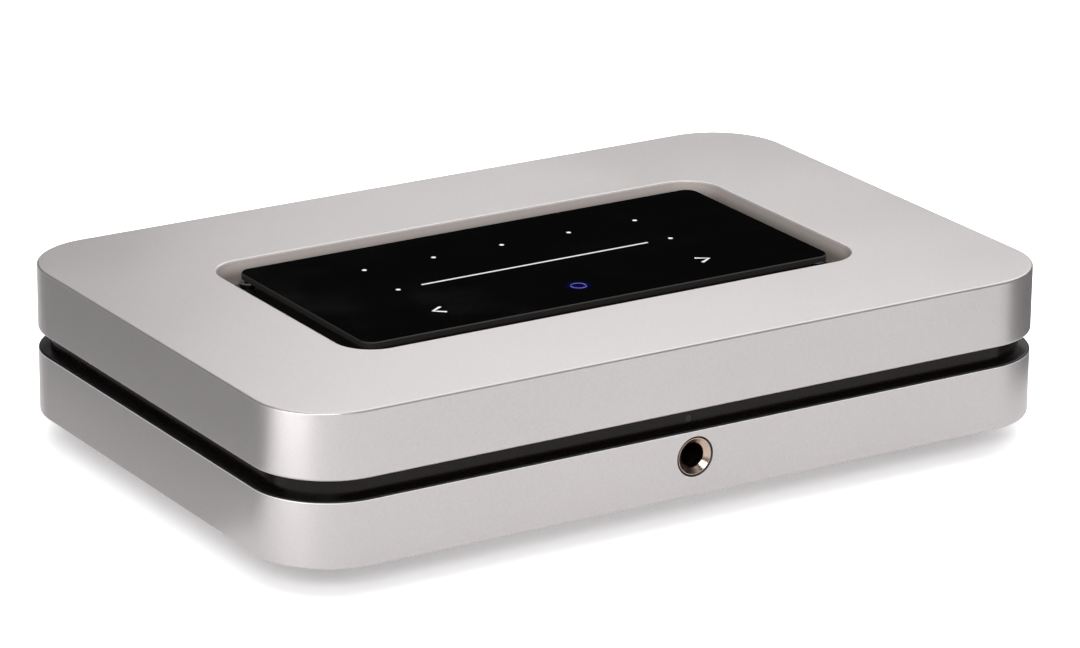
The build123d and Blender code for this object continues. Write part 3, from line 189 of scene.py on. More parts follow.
def blasted_aluminium():
    """Anodised aluminium, milled and then blasted with glass beads of about 0.15 mm: an even
    silver with a very fine sparkle and no brush lines. The dimples are drawn at 0.45 mm, because
    their real size is finer than the picture. The wall of the well is matter, as the beads reach
    it only at a slant, and it has painted shade: darker towards the glass. The ledge under the
    waist band is painted black as painted shade under the overhang, and its rim has a painted
    highlight."""
    metallic = 0.78
    finish, tree, place, shader = new_material("blasted_anodised_aluminium")
    dimples = add(tree, "ShaderNodeTexVoronoi", {"feature": "SMOOTH_F1"}, {
        "Vector": place, "Scale": every(0.45), "Smoothness": 0.6}).outputs["Distance"]
    sparkle = add(tree, "ShaderNodeTexNoise", inputs={
        "Vector": place, "Scale": every(0.35), "Detail": 2.0, "Roughness": 0.6}).outputs["Fac"]
    cloud = add(tree, "ShaderNodeTexNoise", inputs={
        "Vector": place, "Scale": every(45.0), "Detail": 3.0}).outputs["Fac"]
    fleck = add(tree, "ShaderNodeMapRange", inputs={
        "Value": sparkle, "From Min": 0.3, "From Max": 0.7}).outputs["Result"]
    silver = add(tree, "ShaderNodeMix", {"data_type": "RGBA"}, {
        "Factor": fleck, 6: linear("#CAC5C5"), 7: linear("#D2CDCD")}).outputs[2]
    spot = add(tree, "ShaderNodeSeparateXYZ", inputs={"Vector": place}).outputs
    facing = add(tree, "ShaderNodeNewGeometry").outputs["Normal"]
    up = add(tree, "ShaderNodeSeparateXYZ", inputs={"Vector": facing}).outputs["Z"]

    # The ledge faces up, and its rim is the slope at the edge. The ledge gets painted shade (black)
    # and the rim a painted highlight (bright)
    seam = add(tree, "ShaderNodeMath", {"operation": "COMPARE"}, {
        0: spot["Z"], **between(ledge_level - 1.0, ledge_level + 0.1)}).outputs[0]
    level = add(tree, "ShaderNodeMath", {"operation": "GREATER_THAN"}, {
        0: up, 1: 0.4}).outputs[0]
    ledge = add(tree, "ShaderNodeMath", {"operation": "MULTIPLY"}, {0: seam, 1: level}).outputs[0]
    sloped = add(tree, "ShaderNodeMath", {"operation": "COMPARE"}, {
        0: up, 1: 0.22, 2: 0.18}).outputs[0]
    rim = add(tree, "ShaderNodeMath", {"operation": "MULTIPLY"}, {0: seam, 1: sloped}).outputs[0]

    # The wall of the well is all that lies in its box. Its colour is painted darker towards the
    # glass: painted shade deep in the gap
    wall = add(tree, "ShaderNodeMath", {"operation": "COMPARE"}, {
        0: spot["Z"], **between(well_floor, well_lip)}).outputs[0]
    for axis, half in zip("XY", well_half):
        inside = add(tree, "ShaderNodeMath", {"operation": "COMPARE"}, {
            0: spot[axis], **between(-half, half)}).outputs[0]
        wall = add(tree, "ShaderNodeMath", {"operation": "MULTIPLY"}, {
            0: wall, 1: inside}).outputs[0]
    # Painted shade: the wall's colour darkens towards the glass, down in the gap
    depth = add(tree, "ShaderNodeMapRange", {"interpolation_type": "SMOOTHSTEP"}, {
        "Value": spot["Z"], "From Min": (well_lip - 4.5) * MM,
        "From Max": (well_lip - 0.8) * MM}).outputs["Result"]
    wall_colour_and_painted_shade = add(tree, "ShaderNodeMix", {"data_type": "RGBA"}, {
        "Factor": depth, 6: linear("#A3988F"), 7: linear("#FBF0EA")}).outputs[2]

    colour = add(tree, "ShaderNodeMix", {"data_type": "RGBA"}, {
        "Factor": wall, 6: silver, 7: wall_colour_and_painted_shade}).outputs[2]
    # Painted shade: the ledge under the band is painted black, where the overhang shades it
    colour = add(tree, "ShaderNodeMix", {"data_type": "RGBA"}, {
        "Factor": ledge, 6: colour, 7: linear("#0C0A0A")}).outputs[2]
    # Painted highlight: the rim of the ledge is painted bright and less metallic
    colour = add(tree, "ShaderNodeMix", {"data_type": "RGBA"}, {
        "Factor": rim, 6: colour, 7: linear("#F6F4F4")}).outputs[2]
    metal = add(tree, "ShaderNodeMath", {"operation": "MULTIPLY_ADD"}, {
        0: wall, 1: -metallic, 2: metallic}).outputs[0]
    metal = add(tree, "ShaderNodeMath", {"operation": "MULTIPLY_ADD"}, {
        0: rim, 1: -0.5, 2: metal}).outputs[0]
    metal = add(tree, "ShaderNodeMath", {"operation": "MULTIPLY_ADD", "use_clamp": True}, {
        0: ledge, 1: -1.0, 2: metal}).outputs[0]
    rough = add(tree, "ShaderNodeMapRange", inputs={
        "Value": cloud, "From Min": 0.35, "From Max": 0.65,
        "To Min": 0.36, "To Max": 0.4}).outputs["Result"]
    height = add(tree, "ShaderNodeMath", {"operation": "MULTIPLY_ADD"}, {
        0: sparkle, 1: 0.6, 2: dimples}).outputs[0]
    bump = add(tree, "ShaderNodeBump", inputs={
        "Height": height, "Strength": 1.0, "Distance": 0.012 * MM}).outputs["Normal"]
    set_inputs(tree, shader, {
        "Base Color": colour, "Metallic": metal, "Roughness": rough, "Normal": bump})
    return finish


def printed_glass():
    """Float glass with black ceramic print on its back: deep black under a polished face, with
    a little dust that only a low light picks out, and a ground grey edge. The light of the ring
    spreads in it as a faint blue halo."""
    finish, tree, place, shader = new_material("black_backed_glass")
    dust = add(tree, "ShaderNodeTexNoise", inputs={
        "Vector": place, "Scale": every(18.0), "Detail": 5.0}).outputs["Fac"]
    rough = add(tree, "ShaderNodeMapRange", inputs={
        "Value": dust, "From Min": 0.4, "From Max": 0.7,
        "To Min": 0.03, "To Max": 0.07}).outputs["Result"]
    wave = add(tree, "ShaderNodeTexNoise", inputs={
        "Vector": place, "Scale": every(60.0), "Detail": 1.0}).outputs["Fac"]
    bump = add(tree, "ShaderNodeBump", inputs={
        "Height": wave, "Strength": 1.0, "Distance": 0.02 * MM}).outputs["Normal"]
    facing = add(tree, "ShaderNodeNewGeometry").outputs["Normal"]
    up = add(tree, "ShaderNodeSeparateXYZ", inputs={"Vector": facing}).outputs["Z"]
    edge = add(tree, "ShaderNodeMath", {"operation": "LESS_THAN"}, {0: up, 1: 0.9}).outputs[0]
    colour = add(tree, "ShaderNodeMix", {"data_type": "RGBA"}, {
        "Factor": edge, 6: linear("#020202"), 7: linear("#302E2D")}).outputs[2]
    rough = add(tree, "ShaderNodeMath", {"operation": "MULTIPLY_ADD"}, {
        0: edge, 1: 0.4, 2: rough}).outputs[0]
    flat = add(tree, "ShaderNodeVectorMath", {"operation": "MULTIPLY"}, {
        0: place, 1: (1.0, 1.0, 0.0)}).outputs["Vector"]
    away = add(tree, "ShaderNodeVectorMath", {"operation": "DISTANCE"}, {
        0: flat, 1: Vector((*ring_middle, 0.0)) * MM}).outputs["Value"]
    halo = add(tree, "ShaderNodeMapRange", {"interpolation_type": "SMOOTHSTEP"}, {
        "Value": away, "From Min": 0.35 * halo_radius * MM, "From Max": halo_radius * MM,
        "To Min": 0.16, "To Max": 0.0}).outputs["Result"]
    set_inputs(tree, shader, {
        "Base Color": colour, "Roughness": rough, "Normal": bump, "IOR": 1.5,
        "Specular IOR Level": 0.3, "Emission Color": linear("#0803A0"), "Emission Strength": halo})
    return finish


def solder_mask_board():
    """Glass-fibre laminate under a dark green solder mask: copper runs show as a faint raised
    grid, 2 mm apart, with tinned pads every few millimetres."""
    finish, tree, place, shader = new_material("solder_mask_laminate")
    runs = add(tree, "ShaderNodeTexBrick", {"offset": 0.37, "offset_frequency": 3}, {
        "Vector": place, "Scale": every(6.0), "Mortar Size": 0.06, "Mortar Smooth": 0.2,
        "Brick Width": 1.7, "Row Height": 0.34,
        "Color1": linear("#14231C"), "Color2": linear("#182A21"),
        "Mortar": linear("#2C4A38")})
    pads = add(tree, "ShaderNodeTexVoronoi", inputs={
        "Vector": place, "Scale": every(3.2), "Randomness": 0.35}).outputs["Distance"]
    pad = add(tree, "ShaderNodeMapRange", {"clamp": True}, {
        "Value": pads, "From Min": 0.13, "From Max": 0.1}).outputs["Result"]
    colour = add(tree, "ShaderNodeMix", {"data_type": "RGBA"}, {
        "Factor": pad, 6: runs.outputs["Color"], 7: linear("#B9B7B0")}).outputs[2]
    bump = add(tree, "ShaderNodeBump", inputs={
        "Height": runs.outputs["Fac"], "Strength": 1.0, "Distance": 0.04 * MM}).outputs["Normal"]
    set_inputs(tree, shader, {
        "Base Color": colour, "Metallic": pad, "Roughness": 0.38, "Normal": bump})
    return finish


def sleeved_capacitor():
    """Aluminium can in a shrunk sleeve: the sleeve is smooth and dark, and the top of the can
    is bare rolled aluminium."""
    finish, tree, place, shader = new_material("sleeved_aluminium_can")
    facing = add(tree, "ShaderNodeNewGeometry").outputs["Normal"]
    up = add(tree, "ShaderNodeSeparateXYZ", inputs={"Vector": facing}).outputs["Z"]
    top = add(tree, "ShaderNodeMapRange", {"clamp": True}, {
        "Value": up, "From Min": 0.8, "From Max": 0.9}).outputs["Result"]
    grain = add(tree, "ShaderNodeTexNoise", inputs={
        "Vector": place, "Scale": every(0.8), "Detail": 3.0}).outputs["Fac"]
    sleeve = add(tree, "ShaderNodeMix", {"data_type": "RGBA"}, {
        "Factor": grain, 6: linear("#14161C"), 7: linear("#1D2028")}).outputs[2]
    colour = add(tree, "ShaderNodeMix", {"data_type": "RGBA"}, {
        "Factor": top, 6: sleeve, 7: linear("#C6C6C4")}).outputs[2]
    rough = add(tree, "ShaderNodeMapRange", inputs={
        "Value": grain, "To Min": 0.26, "To Max": 0.38}).outputs["Result"]
    bump = add(tree, "ShaderNodeBump", inputs={
        "Height": grain, "Strength": 1.0, "Distance": 0.01 * MM}).outputs["Normal"]
    set_inputs(tree, shader, {
        "Base Color": colour, "Metallic": top, "Roughness": rough, "Normal": bump})
    return finish


def striped(name, base, stripe, pitch_mm, across, roughness, metallic=0.0):
    """Parallel lines of a real pitch, as ribbon conductors, extrusion lines or wound turns."""
    waves_at_scale_one = 20.0 / math.tau
    finish, tree, place, shader = new_material(name)
    lines = add(tree, "ShaderNodeTexWave", {"bands_direction": across, "wave_profile": "SIN"}, {
        "Vector": place, "Scale": every(pitch_mm) / waves_at_scale_one, "Distortion": 0.15,
        "Detail": 1.0}).outputs["Fac"]
    colour = add(tree, "ShaderNodeMix", {"data_type": "RGBA"}, {
        "Factor": lines, 6: linear(base), 7: linear(stripe)}).outputs[2]
    rough = add(tree, "ShaderNodeMapRange", inputs={
        "Value": lines, "To Min": roughness - 0.05, "To Max": roughness + 0.05}).outputs["Result"]
    bump = add(tree, "ShaderNodeBump", inputs={
        "Height": lines, "Strength": 1.0, "Distance": 0.03 * MM}).outputs["Normal"]
    set_inputs(tree, shader, {
        "Base Color": colour, "Metallic": metallic, "Roughness": rough, "Normal": bump})
    return finish


def phono_insert_finish():
    """ABS inserts of the phono sockets: white for each left channel and red for each right."""
    finish, tree, place, shader = new_material("red_and_white_insert_abs")
    grain = add(tree, "ShaderNodeTexNoise", inputs={
        "Vector": place, "Scale": every(0.4), "Detail": 3.0}).outputs["Fac"]
    across = add(tree, "ShaderNodeSeparateXYZ", inputs={"Vector": place}).outputs["X"]
    first, second = [add(tree, "ShaderNodeMath", {"operation": "COMPARE"}, {
        0: across, **between(middle - insert_half, middle + insert_half)}).outputs[0]
        for middle in red_insert_places]
    red = add(tree, "ShaderNodeMath", {"operation": "ADD"}, {0: first, 1: second}).outputs[0]
    white = add(tree, "ShaderNodeMix", {"data_type": "RGBA"}, {
        "Factor": grain, 6: linear("#D9D5CC"), 7: linear("#E2DED6")}).outputs[2]
    colour = add(tree, "ShaderNodeMix", {"data_type": "RGBA"}, {
        "Factor": red, 6: white, 7: linear("#B3151B")}).outputs[2]
    bump = add(tree, "ShaderNodeBump", inputs={
        "Height": grain, "Strength": 1.0, "Distance": 0.006 * MM}).outputs["Normal"]
    set_inputs(tree, shader, {"Base Color": colour, "Roughness": 0.38, "Normal": bump})
    return finish


bushing_nickel = turned_bushing()
aluminium = blasted_aluminium()
glass = printed_glass()
board = solder_mask_board()
sleeved_can = sleeved_capacitor()
# ABS moulded in a polished tool: even black with a soft gloss
band_abs = grained("moulded_gloss_abs", "#110806", "#180F0C", 0.2, 0.03, 0.5, 0.001,
                   **{"Specular IOR Level": 0.2})
# PC-ABS moulded in a spark-eroded tool: matt black with a fine regular grain
housing_abs = grained("spark_textured_pc_abs", "#0F0E0E", "#191716", 0.56, 0.06, 0.35, 0.02)
# Glass-filled PBT of the sockets: matt black with a flow of fine fibres
socket_pbt = grained("glass_filled_pbt", "#101011", "#1A1A1C", 0.46, 0.06, 0.25, 0.01)
# Polycarbonate light pipe: smoky, with a polished face
light_pipe = grained("smoked_polycarbonate", "#252322", "#2E2B29", 0.22, 0.03, 0.6, 0.003,
                     **{"IOR": 1.58, "Specular IOR Level": 0.22})
# Printed polyester mask under the glass: matt black film
mask_film = grained("printed_polyester_film", "#0B0B0C", "#121213", 0.5, 0.05, 0.3, 0.004)
# Silicone rubber feet: dusty black, softly matt
foot_rubber = grained("moulded_silicone_rubber", "#171615", "#232120", 0.72, 0.06, 0.4, 0.02)
# Black zinc-plated steel screws: dark and slightly oily
screw_steel = grained("black_zinc_steel", "#2A2B2D", "#3A3B3D", 0.36, 0.06, 0.3, 0.008,
                      Metallic=1.0)
# Turned brass spacers, nickel plated: pale yellow and smooth
spacer_brass = grained("turned_nickelled_brass", "#B8AE92", "#C6BDA2", 0.28, 0.05, 0.25, 0.006,
                       Metallic=1.0)
# Epoxy moulding compound of the chips: fine matt grain
chip_epoxy = grained("epoxy_moulding_compound", "#161617", "#202022", 0.52, 0.06, 0.2, 0.01)
# Tin-plated steel of cans and shells: soft grey crystal bloom
tinned_steel = grained("tin_plated_steel", "#A9A9A7", "#C4C4C2", 0.27, 0.07, 1.8, 0.004,
                       Metallic=1.0)
# Nickel-plated brass of the mains pins: bright and smooth
nickel = grained("satin_nickel_plate", "#C9C2BB", "#D8D1CA", 0.2, 0.04, 0.4, 0.004, Metallic=1.0)
# Hard gold over nickel on contacts and sleeves: warm and bright
gold = grained("hard_gold_plate", "#C99A3F", "#DDB35A", 0.22, 0.05, 0.4, 0.004, Metallic=1.0)
# Lacquered film capacitor boxes: brick red with a soft gloss
film_box = grained("lacquered_polyester_box", "#8C2A1E", "#9A3427", 0.36, 0.05, 0.6, 0.01)
# Pressed ferrite of the coil cores: dark grey and dry
ferrite = grained("pressed_ferrite", "#2E2D2E", "#3B3A3A", 0.6, 0.06, 0.3, 0.02)
# Pressed fibre paper between the power board and the case: dull black
barrier_sheet = grained("fish_paper_sheet", "#1B1B1C", "#242425", 0.66, 0.05, 0.7, 0.01)
# Polyester tape wound round the transformer coil: yellow turns
coil_tape = striped("wound_polyester_tape", "#C79A2A", "#D9B04A", 0.9, "Z", 0.34)
# Extruded and black anodised heat sink: fine lines along the fins
sink_metal = striped("extruded_anodised_aluminium", "#151516", "#232325", 0.5, "Y", 0.4, 0.6)
# Flat ribbon: tinned conductors of 0.5 mm pitch in white film
ribbon_film = striped("laminated_ribbon_film", "#D8D6CF", "#A7A49A", 0.5, "X", 0.42)
# Steatite tube of the fuse: white and glazed
fuse_ceramic = grained("glazed_ceramic", "#CDC8BC", "#DAD6CB", 0.3, 0.04, 0.5, 0.006)
# Polypropylene box of the suppression capacitor: slate blue, softly matt
suppressor_box = grained("polypropylene_box", "#3C4A5C", "#47566A", 0.42, 0.05, 0.5, 0.008)
# PVC sleeve of the power lead: black with a slight sheen
lead_pvc = grained("extruded_pvc_sleeve", "#1C1C1D", "#29292A", 0.48, 0.05, 0.4, 0.006)
# FEP sleeve of the antenna leads: slick dark grey
coax_fep = grained("extruded_fep_sleeve", "#232324", "#303031", 0.32, 0.05, 0.3, 0.003)
# Phosphor in silicone on the panel lights: pale yellow
led_phosphor = grained("phosphor_silicone", "#D8C96A", "#E5D98A", 0.4, 0.05, 0.2, 0.006)

slot_finishes = {
    "case_aluminium": aluminium, "band_plastic": band_abs, "panel_glass": glass,
    "inner_plastic": housing_abs, "light_clear": light_pipe, "mask_sheet": mask_film,
    "light_chips": led_phosphor, "foot_rubber": foot_rubber, "screw_steel": screw_steel,
    "spacer_brass": spacer_brass, "board_laminate": board, "chip_plastic": chip_epoxy,
    "sink_aluminium": sink_metal, "can_steel": tinned_steel, "film_box": film_box,
    "electrolytic_sleeve": sleeved_can, "coil_ferrite": ferrite, "socket_plastic": socket_pbt,
    "contact_gold": gold, "plated_nickel": nickel, "ribbon_film": ribbon_film,
    "insulator_film": barrier_sheet, "coil_tape": coil_tape, "fuse_ceramic": fuse_ceramic,
    "suppressor_box": suppressor_box, "lead_sleeve": lead_pvc, "coax_sleeve": coax_fep,
    "insert_plastic": phono_insert_finish(),
}
slot_of = {row["node"]: row["material_slot"] for row in frame["record"]["subparts"]}
for name, node in nodes.items():
    finish = bushing_nickel if name == "headphone_bushing" else slot_finishes[slot_of[name]]
    for holder in node.material_slots:
        holder.material = finish


# Pieces added to the frame

def edit_new(piece_name):
    """Names the primitive that was just added and opens it, all of it selected."""
    piece = bpy.context.object
    piece.name = piece_name
    bpy.ops.object.mode_set(mode="EDIT")
    bpy.ops.mesh.select_all(action="SELECT")
    return piece


def close_edit(piece, finish):
    """Leaves edit mode, turns the faces outwards, and gives the piece its finish and its body."""
    smooth_up_to = math.radians(40.0)
    bpy.ops.mesh.select_all(action="SELECT")
    bpy.ops.mesh.remove_doubles(threshold=0.001 * MM)
    bpy.ops.mesh.normals_make_consistent(inside=False)
    bpy.ops.object.mode_set(mode="OBJECT")
    bpy.ops.object.transform_apply(location=True, rotation=True, scale=True)
    bpy.ops.object.shade_smooth_by_angle(angle=smooth_up_to)
    piece.data.materials.clear()
    piece.data.materials.append(finish)
    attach(piece, "case")
    piece.select_set(False)


glass_low, glass_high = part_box("touch_glass")
glass_middle = ((glass_low[0] + glass_high[0]) / 2, (glass_low[1] + glass_high[1]) / 2)
mark_level = glass_high[2] + 0.005 * MM
mark_rise = 0.03 * MM


def glass_place(x_mm, y_mm):
    """Place on top of the glass, from its middle."""
    return (glass_middle[0] + x_mm * MM, glass_middle[1] + y_mm * MM, mark_level)


def lit_window(name, colour, strength, edge_colour=None, edge_from=0.0, edge_to=1.0):
    """Clear window in the black print with a light behind it: bright, a little uneven from the
    diffuser, and dark glass where the light is off. A second colour may tint its front edge."""
    finish, tree, place, shader = new_material(name)
    haze = add(tree, "ShaderNodeTexNoise", inputs={
        "Vector": place, "Scale": every(1.2), "Detail": 2.0}).outputs["Fac"]
    level = add(tree, "ShaderNodeMapRange", inputs={
        "Value": haze, "From Min": 0.3, "From Max": 0.7,
        "To Min": 0.88 * strength, "To Max": strength}).outputs["Result"]
    glow = linear(colour)
    if edge_colour:
        depth = add(tree, "ShaderNodeSeparateXYZ", inputs={"Vector": place}).outputs["Y"]
        share = add(tree, "ShaderNodeMapRange", {"clamp": True}, {
            "Value": depth, "From Min": edge_from, "From Max": edge_to}).outputs["Result"]
        glow = add(tree, "ShaderNodeMix", {"data_type": "RGBA"}, {
            "Factor": share, 6: linear(edge_colour), 7: linear(colour)}).outputs[2]
    set_inputs(tree, shader, {
        "Base Color": linear("#050505"), "Roughness": 0.15, "Emission Color": glow,
        "Emission Strength": level})
    return finish


ring_front = ring_middle[1] - ring_radius
white_mark = lit_window("white_lit_window", "#F6F6FA", 1.0)
blue_mark = lit_window("blue_lit_window", "#06029A", 0.55, "#2A1CE0",
                       glass_middle[1] + (ring_front - 0.1) * MM,
                       glass_middle[1] + (ring_front + 0.9) * MM)

# Dots: five in a row and one at each end of the bar. The top of each is drawn in, for a soft rim
dot_radius = 0.62
dot_top = 0.86
dot_spots = [(-40.0, 16.4), (-20.0, 16.4), (0.0, 16.4), (20.0, 16.4), (40.0, 16.4),
             (-40.4, -0.9), (39.8, -0.6)]
for count, (x, y) in enumerate(dot_spots, 1):
    bpy.ops.mesh.primitive_circle_add(vertices=28, radius=dot_radius * MM, fill_type="NGON",
                                      location=glass_place(x, y))
    dot = edit_new("mark_dot_%d" % count)
    bpy.ops.mesh.extrude_region_move(TRANSFORM_OT_translate={"value": (0.0, 0.0, mark_rise)})
    bpy.ops.transform.resize(value=(dot_top, dot_top, 1.0))
    close_edit(dot, white_mark)

# Bar with round ends
bar_length = 66.6
bar_width = 0.62
bpy.ops.mesh.primitive_plane_add(size=1.0, location=glass_place(-0.3, -0.6))
bar = edit_new("mark_bar")
bpy.ops.transform.resize(value=(bar_length * MM, bar_width * MM, 1.0))
bpy.ops.mesh.bevel(offset=0.48 * bar_width * MM, segments=6, affect="VERTICES")
bpy.ops.mesh.select_all(action="SELECT")
bpy.ops.mesh.extrude_region_move(TRANSFORM_OT_translate={"value": (0.0, 0.0, mark_rise)})
close_edit(bar, white_mark)

arrow_width = 0.85


def arrow_mark(name, spots):
    """A lit line through three spots on the glass, with round ends."""
    data = bpy.data.curves.new(name, "CURVE")
    data.dimensions = "3D"
    data.bevel_depth = 0.5 * arrow_width * MM
    data.bevel_resolution = 3
    data.use_fill_caps = True
    run = data.splines.new("POLY")
    run.points.add(len(spots) - 1)
    for point, (x, y) in zip(run.points, spots):
        point.co = (x * MM, y * MM, 0.0, 1.0)
    line = bpy.data.objects.new(name, data)
    bpy.context.scene.collection.objects.link(line)
    bpy.ops.object.select_all(action="DESELECT")
    line.select_set(True)
    bpy.context.view_layer.objects.active = line
    bpy.ops.object.convert(target="MESH")
    line = bpy.context.object
    line.scale = (1.0, 1.0, mark_rise / (arrow_width * MM))
    line.location = (glass_middle[0], glass_middle[1], mark_level + mark_rise / 2)
    bpy.ops.object.transform_apply(location=True, rotation=True, scale=True)
    edit_new(name)
    close_edit(line, white_mark)


arrow_mark("mark_arrow_left", [(-38.2, -17.3), (-41.3, -19.2), (-38.7, -21.4)])
arrow_mark("mark_arrow_right", [(36.2, -17.1), (39.3, -19.0), (36.1, -20.9)])

# Ring, pressed flat
ring_flatness = 0.06
bpy.ops.mesh.primitive_torus_add(major_radius=ring_radius * MM, minor_radius=0.28 * MM,
                                 major_segments=48, minor_segments=10,
                                 location=glass_place(*ring_middle))
ring = edit_new("mark_ring")
bpy.ops.transform.resize(value=(1.0, 1.0, ring_flatness))
close_edit(ring, blue_mark)

blade_thickness = 0.12


def contact_blades(name, places, width, length):
    """Flat gold blades, each with a rounded nose at the mouth of its socket. The first is made
    and the others are copies of it with their own mesh. Places are in millimetres."""
    bpy.ops.mesh.primitive_cube_add(size=1.0)
    first = edit_new(name + "_1")
    bpy.ops.transform.resize(value=(width * MM, length * MM, blade_thickness * MM))
    bpy.ops.mesh.bevel(offset=0.3 * blade_thickness * MM, segments=2, affect="EDGES")
    bpy.ops.mesh.select_all(action="SELECT")
    bpy.ops.transform.translate(value=[part * MM for part in places[0]])
    close_edit(first, gold)
    for count, spot in enumerate(places[1:], 2):
        blade = first.copy()
        blade.data = first.data.copy()
        blade.name = "%s_%d" % (name, count)
        blade.data.transform(Matrix.Translation((Vector(spot) - Vector(places[0])) * MM))
        bpy.context.scene.collection.objects.link(blade)
        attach(blade, "case")


# Four blades under the USB tongue
usb_low, usb_high = [Vector(corner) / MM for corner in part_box("usb_tongue")]
usb_middle = (usb_low.x + usb_high.x) / 2
usb_blade_middle = usb_high.y - 4.0
tongue_underside = usb_high.z - 2.8
contact_blades("usb_blade", [
    (usb_middle + offset, usb_blade_middle, tongue_underside - blade_thickness / 2)
    for offset in (-3.5, -1.0, 1.0, 3.5)], width=1.0, length=6.6)

# Nineteen blades on both sides of the HDMI tongue, at a pitch of half a millimetre
hdmi_low, hdmi_high = [Vector(corner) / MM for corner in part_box("hdmi_tongue")]
hdmi_middle = (hdmi_low.x + hdmi_high.x) / 2
hdmi_blade_middle = hdmi_high.y - 3.1
hdmi_pitch = 0.5
tongue_middle = hdmi_low.z + 3.3
tongue_half = 0.6
blade_off = tongue_half + blade_thickness / 2
contact_blades("hdmi_blade", [
    (hdmi_middle + (count - 9) * hdmi_pitch, hdmi_blade_middle,
     tongue_middle + (blade_off if count % 2 == 0 else -blade_off))
    for count in range(19)], width=0.42, length=5.4)

# Floor. It is a sheet of paper with a low wall far round, with a glow of its own that makes it
# white.
# The glow is full away from the case and fades towards its foot: a painted shadow, on top of the
# real shadow the lamps cast. The fade runs over the distance in millimetres from a core that lies
# inside the footprint.
floor_lift = 0.29
core_inset = 26.0
case_core = (cad_box[1][0] - core_inset * MM, cad_box[1][1] - core_inset * MM, 1.0)
shadow_start = 12.0
shadow_end = 50.0
floor_reach = 5.0
wall_height = 0.8


def paper_floor():
    """Seamless white paper: matt, with the faintest tooth. Its glow fades near the case as a
    painted shadow.
    """
    finish, tree, place, shader = new_material("white_background_paper")
    tooth = add(tree, "ShaderNodeTexNoise", inputs={
        "Vector": place, "Scale": every(3.0), "Detail": 2.0}).outputs["Fac"]
    bump = add(tree, "ShaderNodeBump", inputs={
        "Height": tooth, "Strength": 0.2, "Distance": 0.02 * MM}).outputs["Normal"]
    beyond = add(tree, "ShaderNodeVectorMath", {"operation": "ABSOLUTE"}, {
        0: place}).outputs["Vector"]
    beyond = add(tree, "ShaderNodeVectorMath", {"operation": "SUBTRACT"}, {
        0: beyond, 1: case_core}).outputs["Vector"]
    beyond = add(tree, "ShaderNodeVectorMath", {"operation": "MAXIMUM"}, {
        0: beyond, 1: (0.0, 0.0, 0.0)}).outputs["Vector"]
    away = add(tree, "ShaderNodeVectorMath", {"operation": "LENGTH"}, {0: beyond}).outputs["Value"]
    # Painted shadow: the glow the camera sees fades towards the foot of the case
    clear = add(tree, "ShaderNodeMapRange", {"interpolation_type": "SMOOTHSTEP"}, {
        "Value": away, "From Min": shadow_start * MM, "From Max": shadow_end * MM,
        "To Min": floor_lift, "To Max": 1.0}).outputs["Result"]
    path = add(tree, "ShaderNodeLightPath").outputs
    straight = add(tree, "ShaderNodeMath", {"operation": "MULTIPLY"}, {
        0: path["Is Camera Ray"], 1: clear}).outputs[0]
    bent = add(tree, "ShaderNodeMath", {"operation": "MAXIMUM"}, {
        0: path["Is Glossy Ray"], 1: path["Is Transmission Ray"]}).outputs[0]
    bent = add(tree, "ShaderNodeMath", {"operation": "MULTIPLY"}, {
        0: bent, 1: floor_lift}).outputs[0]
    lift = add(tree, "ShaderNodeMath", {"operation": "MAXIMUM"}, {
        0: straight, 1: bent}).outputs[0]
    set_inputs(tree, shader, {
        "Base Color": linear("#F4F4F4"), "Roughness": 0.9, "Specular IOR Level": 0.0,
        "Normal": bump, "Emission Color": (1.0, 1.0, 1.0, 1.0), "Emission Strength": lift})
    return finish


bpy.ops.mesh.primitive_circle_add(vertices=96, radius=floor_reach, fill_type="NGON")
floor = bpy.context.object
floor.name = "paper_floor"
bpy.ops.object.mode_set(mode="EDIT")
bpy.ops.mesh.select_mode(type="EDGE")
bpy.ops.mesh.select_all(action="SELECT")
bpy.ops.mesh.extrude_edges_move(TRANSFORM_OT_translate={"value": (0.0, 0.0, wall_height)})
bpy.ops.object.mode_set(mode="OBJECT")
floor.data.materials.append(paper_floor())


# Cards and lamps

def card(name, start, along, rise, finish_name, strength):
    """A card of the studio with a light of its own: it sets what one side mirrors, and the
    camera doesn't see it. Its edges run along two vectors from its start."""
    bpy.ops.mesh.primitive_plane_add(size=1.0)
    sheet = bpy.context.object
    sheet.name = name
    for corner, vertex in zip(((0, 0), (1, 0), (0, 1), (1, 1)), sheet.data.vertices):
        vertex.co = Vector(start) + Vector(along) * corner[0] + Vector(rise) * corner[1]
    finish, tree, _, shader = new_material(finish_name)
    set_inputs(tree, shader, {
        "Base Color": linear("#101010"), "Roughness": 0.9, "Emission Color": (1.0, 1.0, 1.0, 1.0),
        "Emission Strength": strength})
    sheet.data.materials.append(finish)
    sheet.visible_camera = False
    sheet.visible_diffuse = False
    sheet.visible_shadow = False


def lamp(name, place, aim, width, depth, watts):
    """A soft box: a rectangular lamp at a place, turned to its aim."""
    data = bpy.data.lights.new(name, "AREA")
    data.shape = "RECTANGLE"
    data.size = width
    data.size_y = depth
    data.energy = watts
    soft_box = bpy.data.objects.new(name, data)
    bpy.context.scene.collection.objects.link(soft_box)
    soft_box.location = place
    soft_box.rotation_euler = (Vector(aim) - Vector(place)).to_track_quat("-Z", "Y").to_euler()


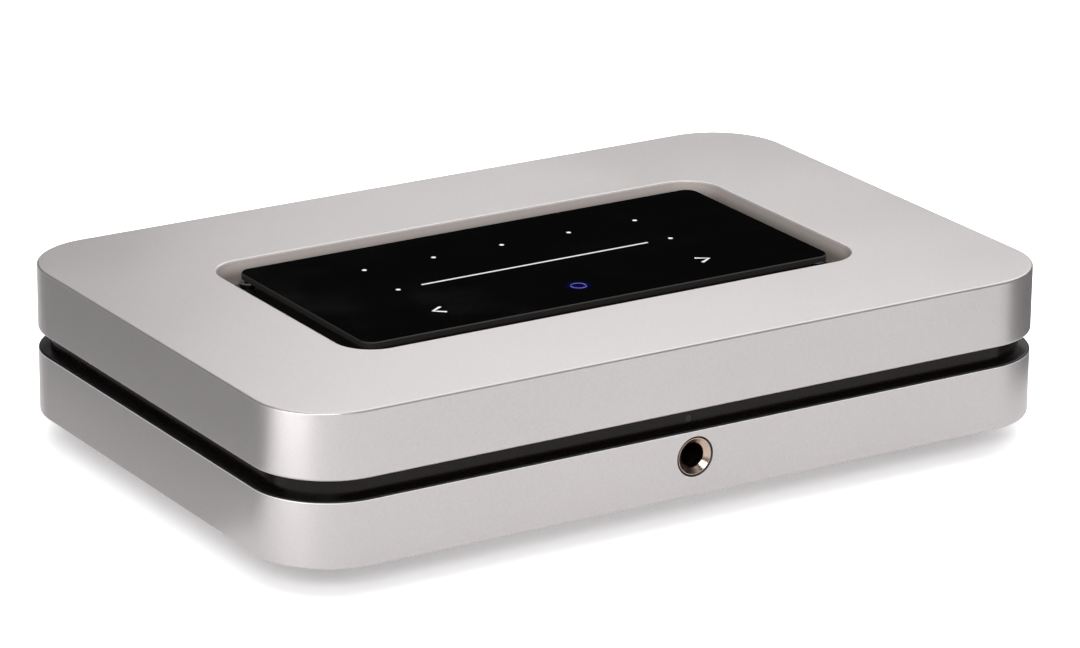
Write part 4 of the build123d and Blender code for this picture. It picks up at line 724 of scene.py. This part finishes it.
# Grey cards on the floor beside the left side, and a dark one beside the right side
card("left_near_card", (-0.114, -0.022, 0.0008), (-0.03, 0.0, 0.0), (0.0, 0.4, 0.0),
     "light_grey_card", 0.46)
card("left_far_card", (-0.144, -0.022, 0.0008), (-0.22, 0.0, 0.0), (0.0, 0.4, 0.0),
     "grey_card", 0.14)
card("right_card", (0.15, -0.115, 0.0), (0.0, 0.4, 0.0), (0.0, 0.0, 0.05),
     "dark_grey_card", 0.12)
# A bright one for the line of light down the front left corner, and one for the top
card("corner_bounce_card", (-0.27, -0.03, 0.0), (0.045, -0.133, 0.0), (0.0, 0.0, 0.1),
     "lit_white_card", 3.1)
card("back_right_card", (0.34, 0.84, 0.4), (0.64, -0.74, 0.0), (0.1, 0.12, 0.42),
     "lit_back_card", 2.5)
lamp("overhead_soft_box", (0.42, 0.3, 2.0), (0.05, 0.0, 0.0), 3.4, 3.4, 52.0)
lamp("front_left_soft_box", (-1.05, -1.6, 1.25), (0.0, 0.0, 0.03), 1.0, 0.8, 22.0)

studio_grey = 0.012
world = bpy.data.worlds.new("dim_studio")
bpy.context.scene.world = world
world.use_nodes = True
background = world.node_tree.nodes["Background"]
background.inputs["Color"].default_value = (studio_grey, studio_grey, studio_grey, 1.0)
background.inputs["Strength"].default_value = 1.0

# Camera, at the angle of the photograph
camera_azimuth = math.radians(-32.074)
camera_elevation = math.radians(19.019)
camera_roll = math.radians(0.551)
camera_distance = 1.219415
camera_target = Vector((-0.02798, -0.04686, 0.04809))
camera_lens = 169.67

back = Vector((math.sin(camera_azimuth) * math.cos(camera_elevation),
               -math.cos(camera_azimuth) * math.cos(camera_elevation),
               math.sin(camera_elevation)))
level = Vector((math.cos(camera_azimuth), math.sin(camera_azimuth), 0.0))
upright = back.cross(level)
right = math.cos(camera_roll) * level + math.sin(camera_roll) * upright
up = math.cos(camera_roll) * upright - math.sin(camera_roll) * level
view = Matrix((right, up, back)).transposed().to_4x4()
view.translation = camera_target + camera_distance * back
eye = bpy.data.cameras.new("front_left_camera")
eye.lens = camera_lens
eye.sensor_width = 36.0
eye.sensor_fit = "HORIZONTAL"
eye.clip_end = 50.0
camera = bpy.data.objects.new("front_left_camera", eye)
bpy.context.scene.collection.objects.link(camera)
camera.matrix_world = view
bpy.context.scene.camera = camera
bpy.context.scene.view_settings.view_transform = "Standard"
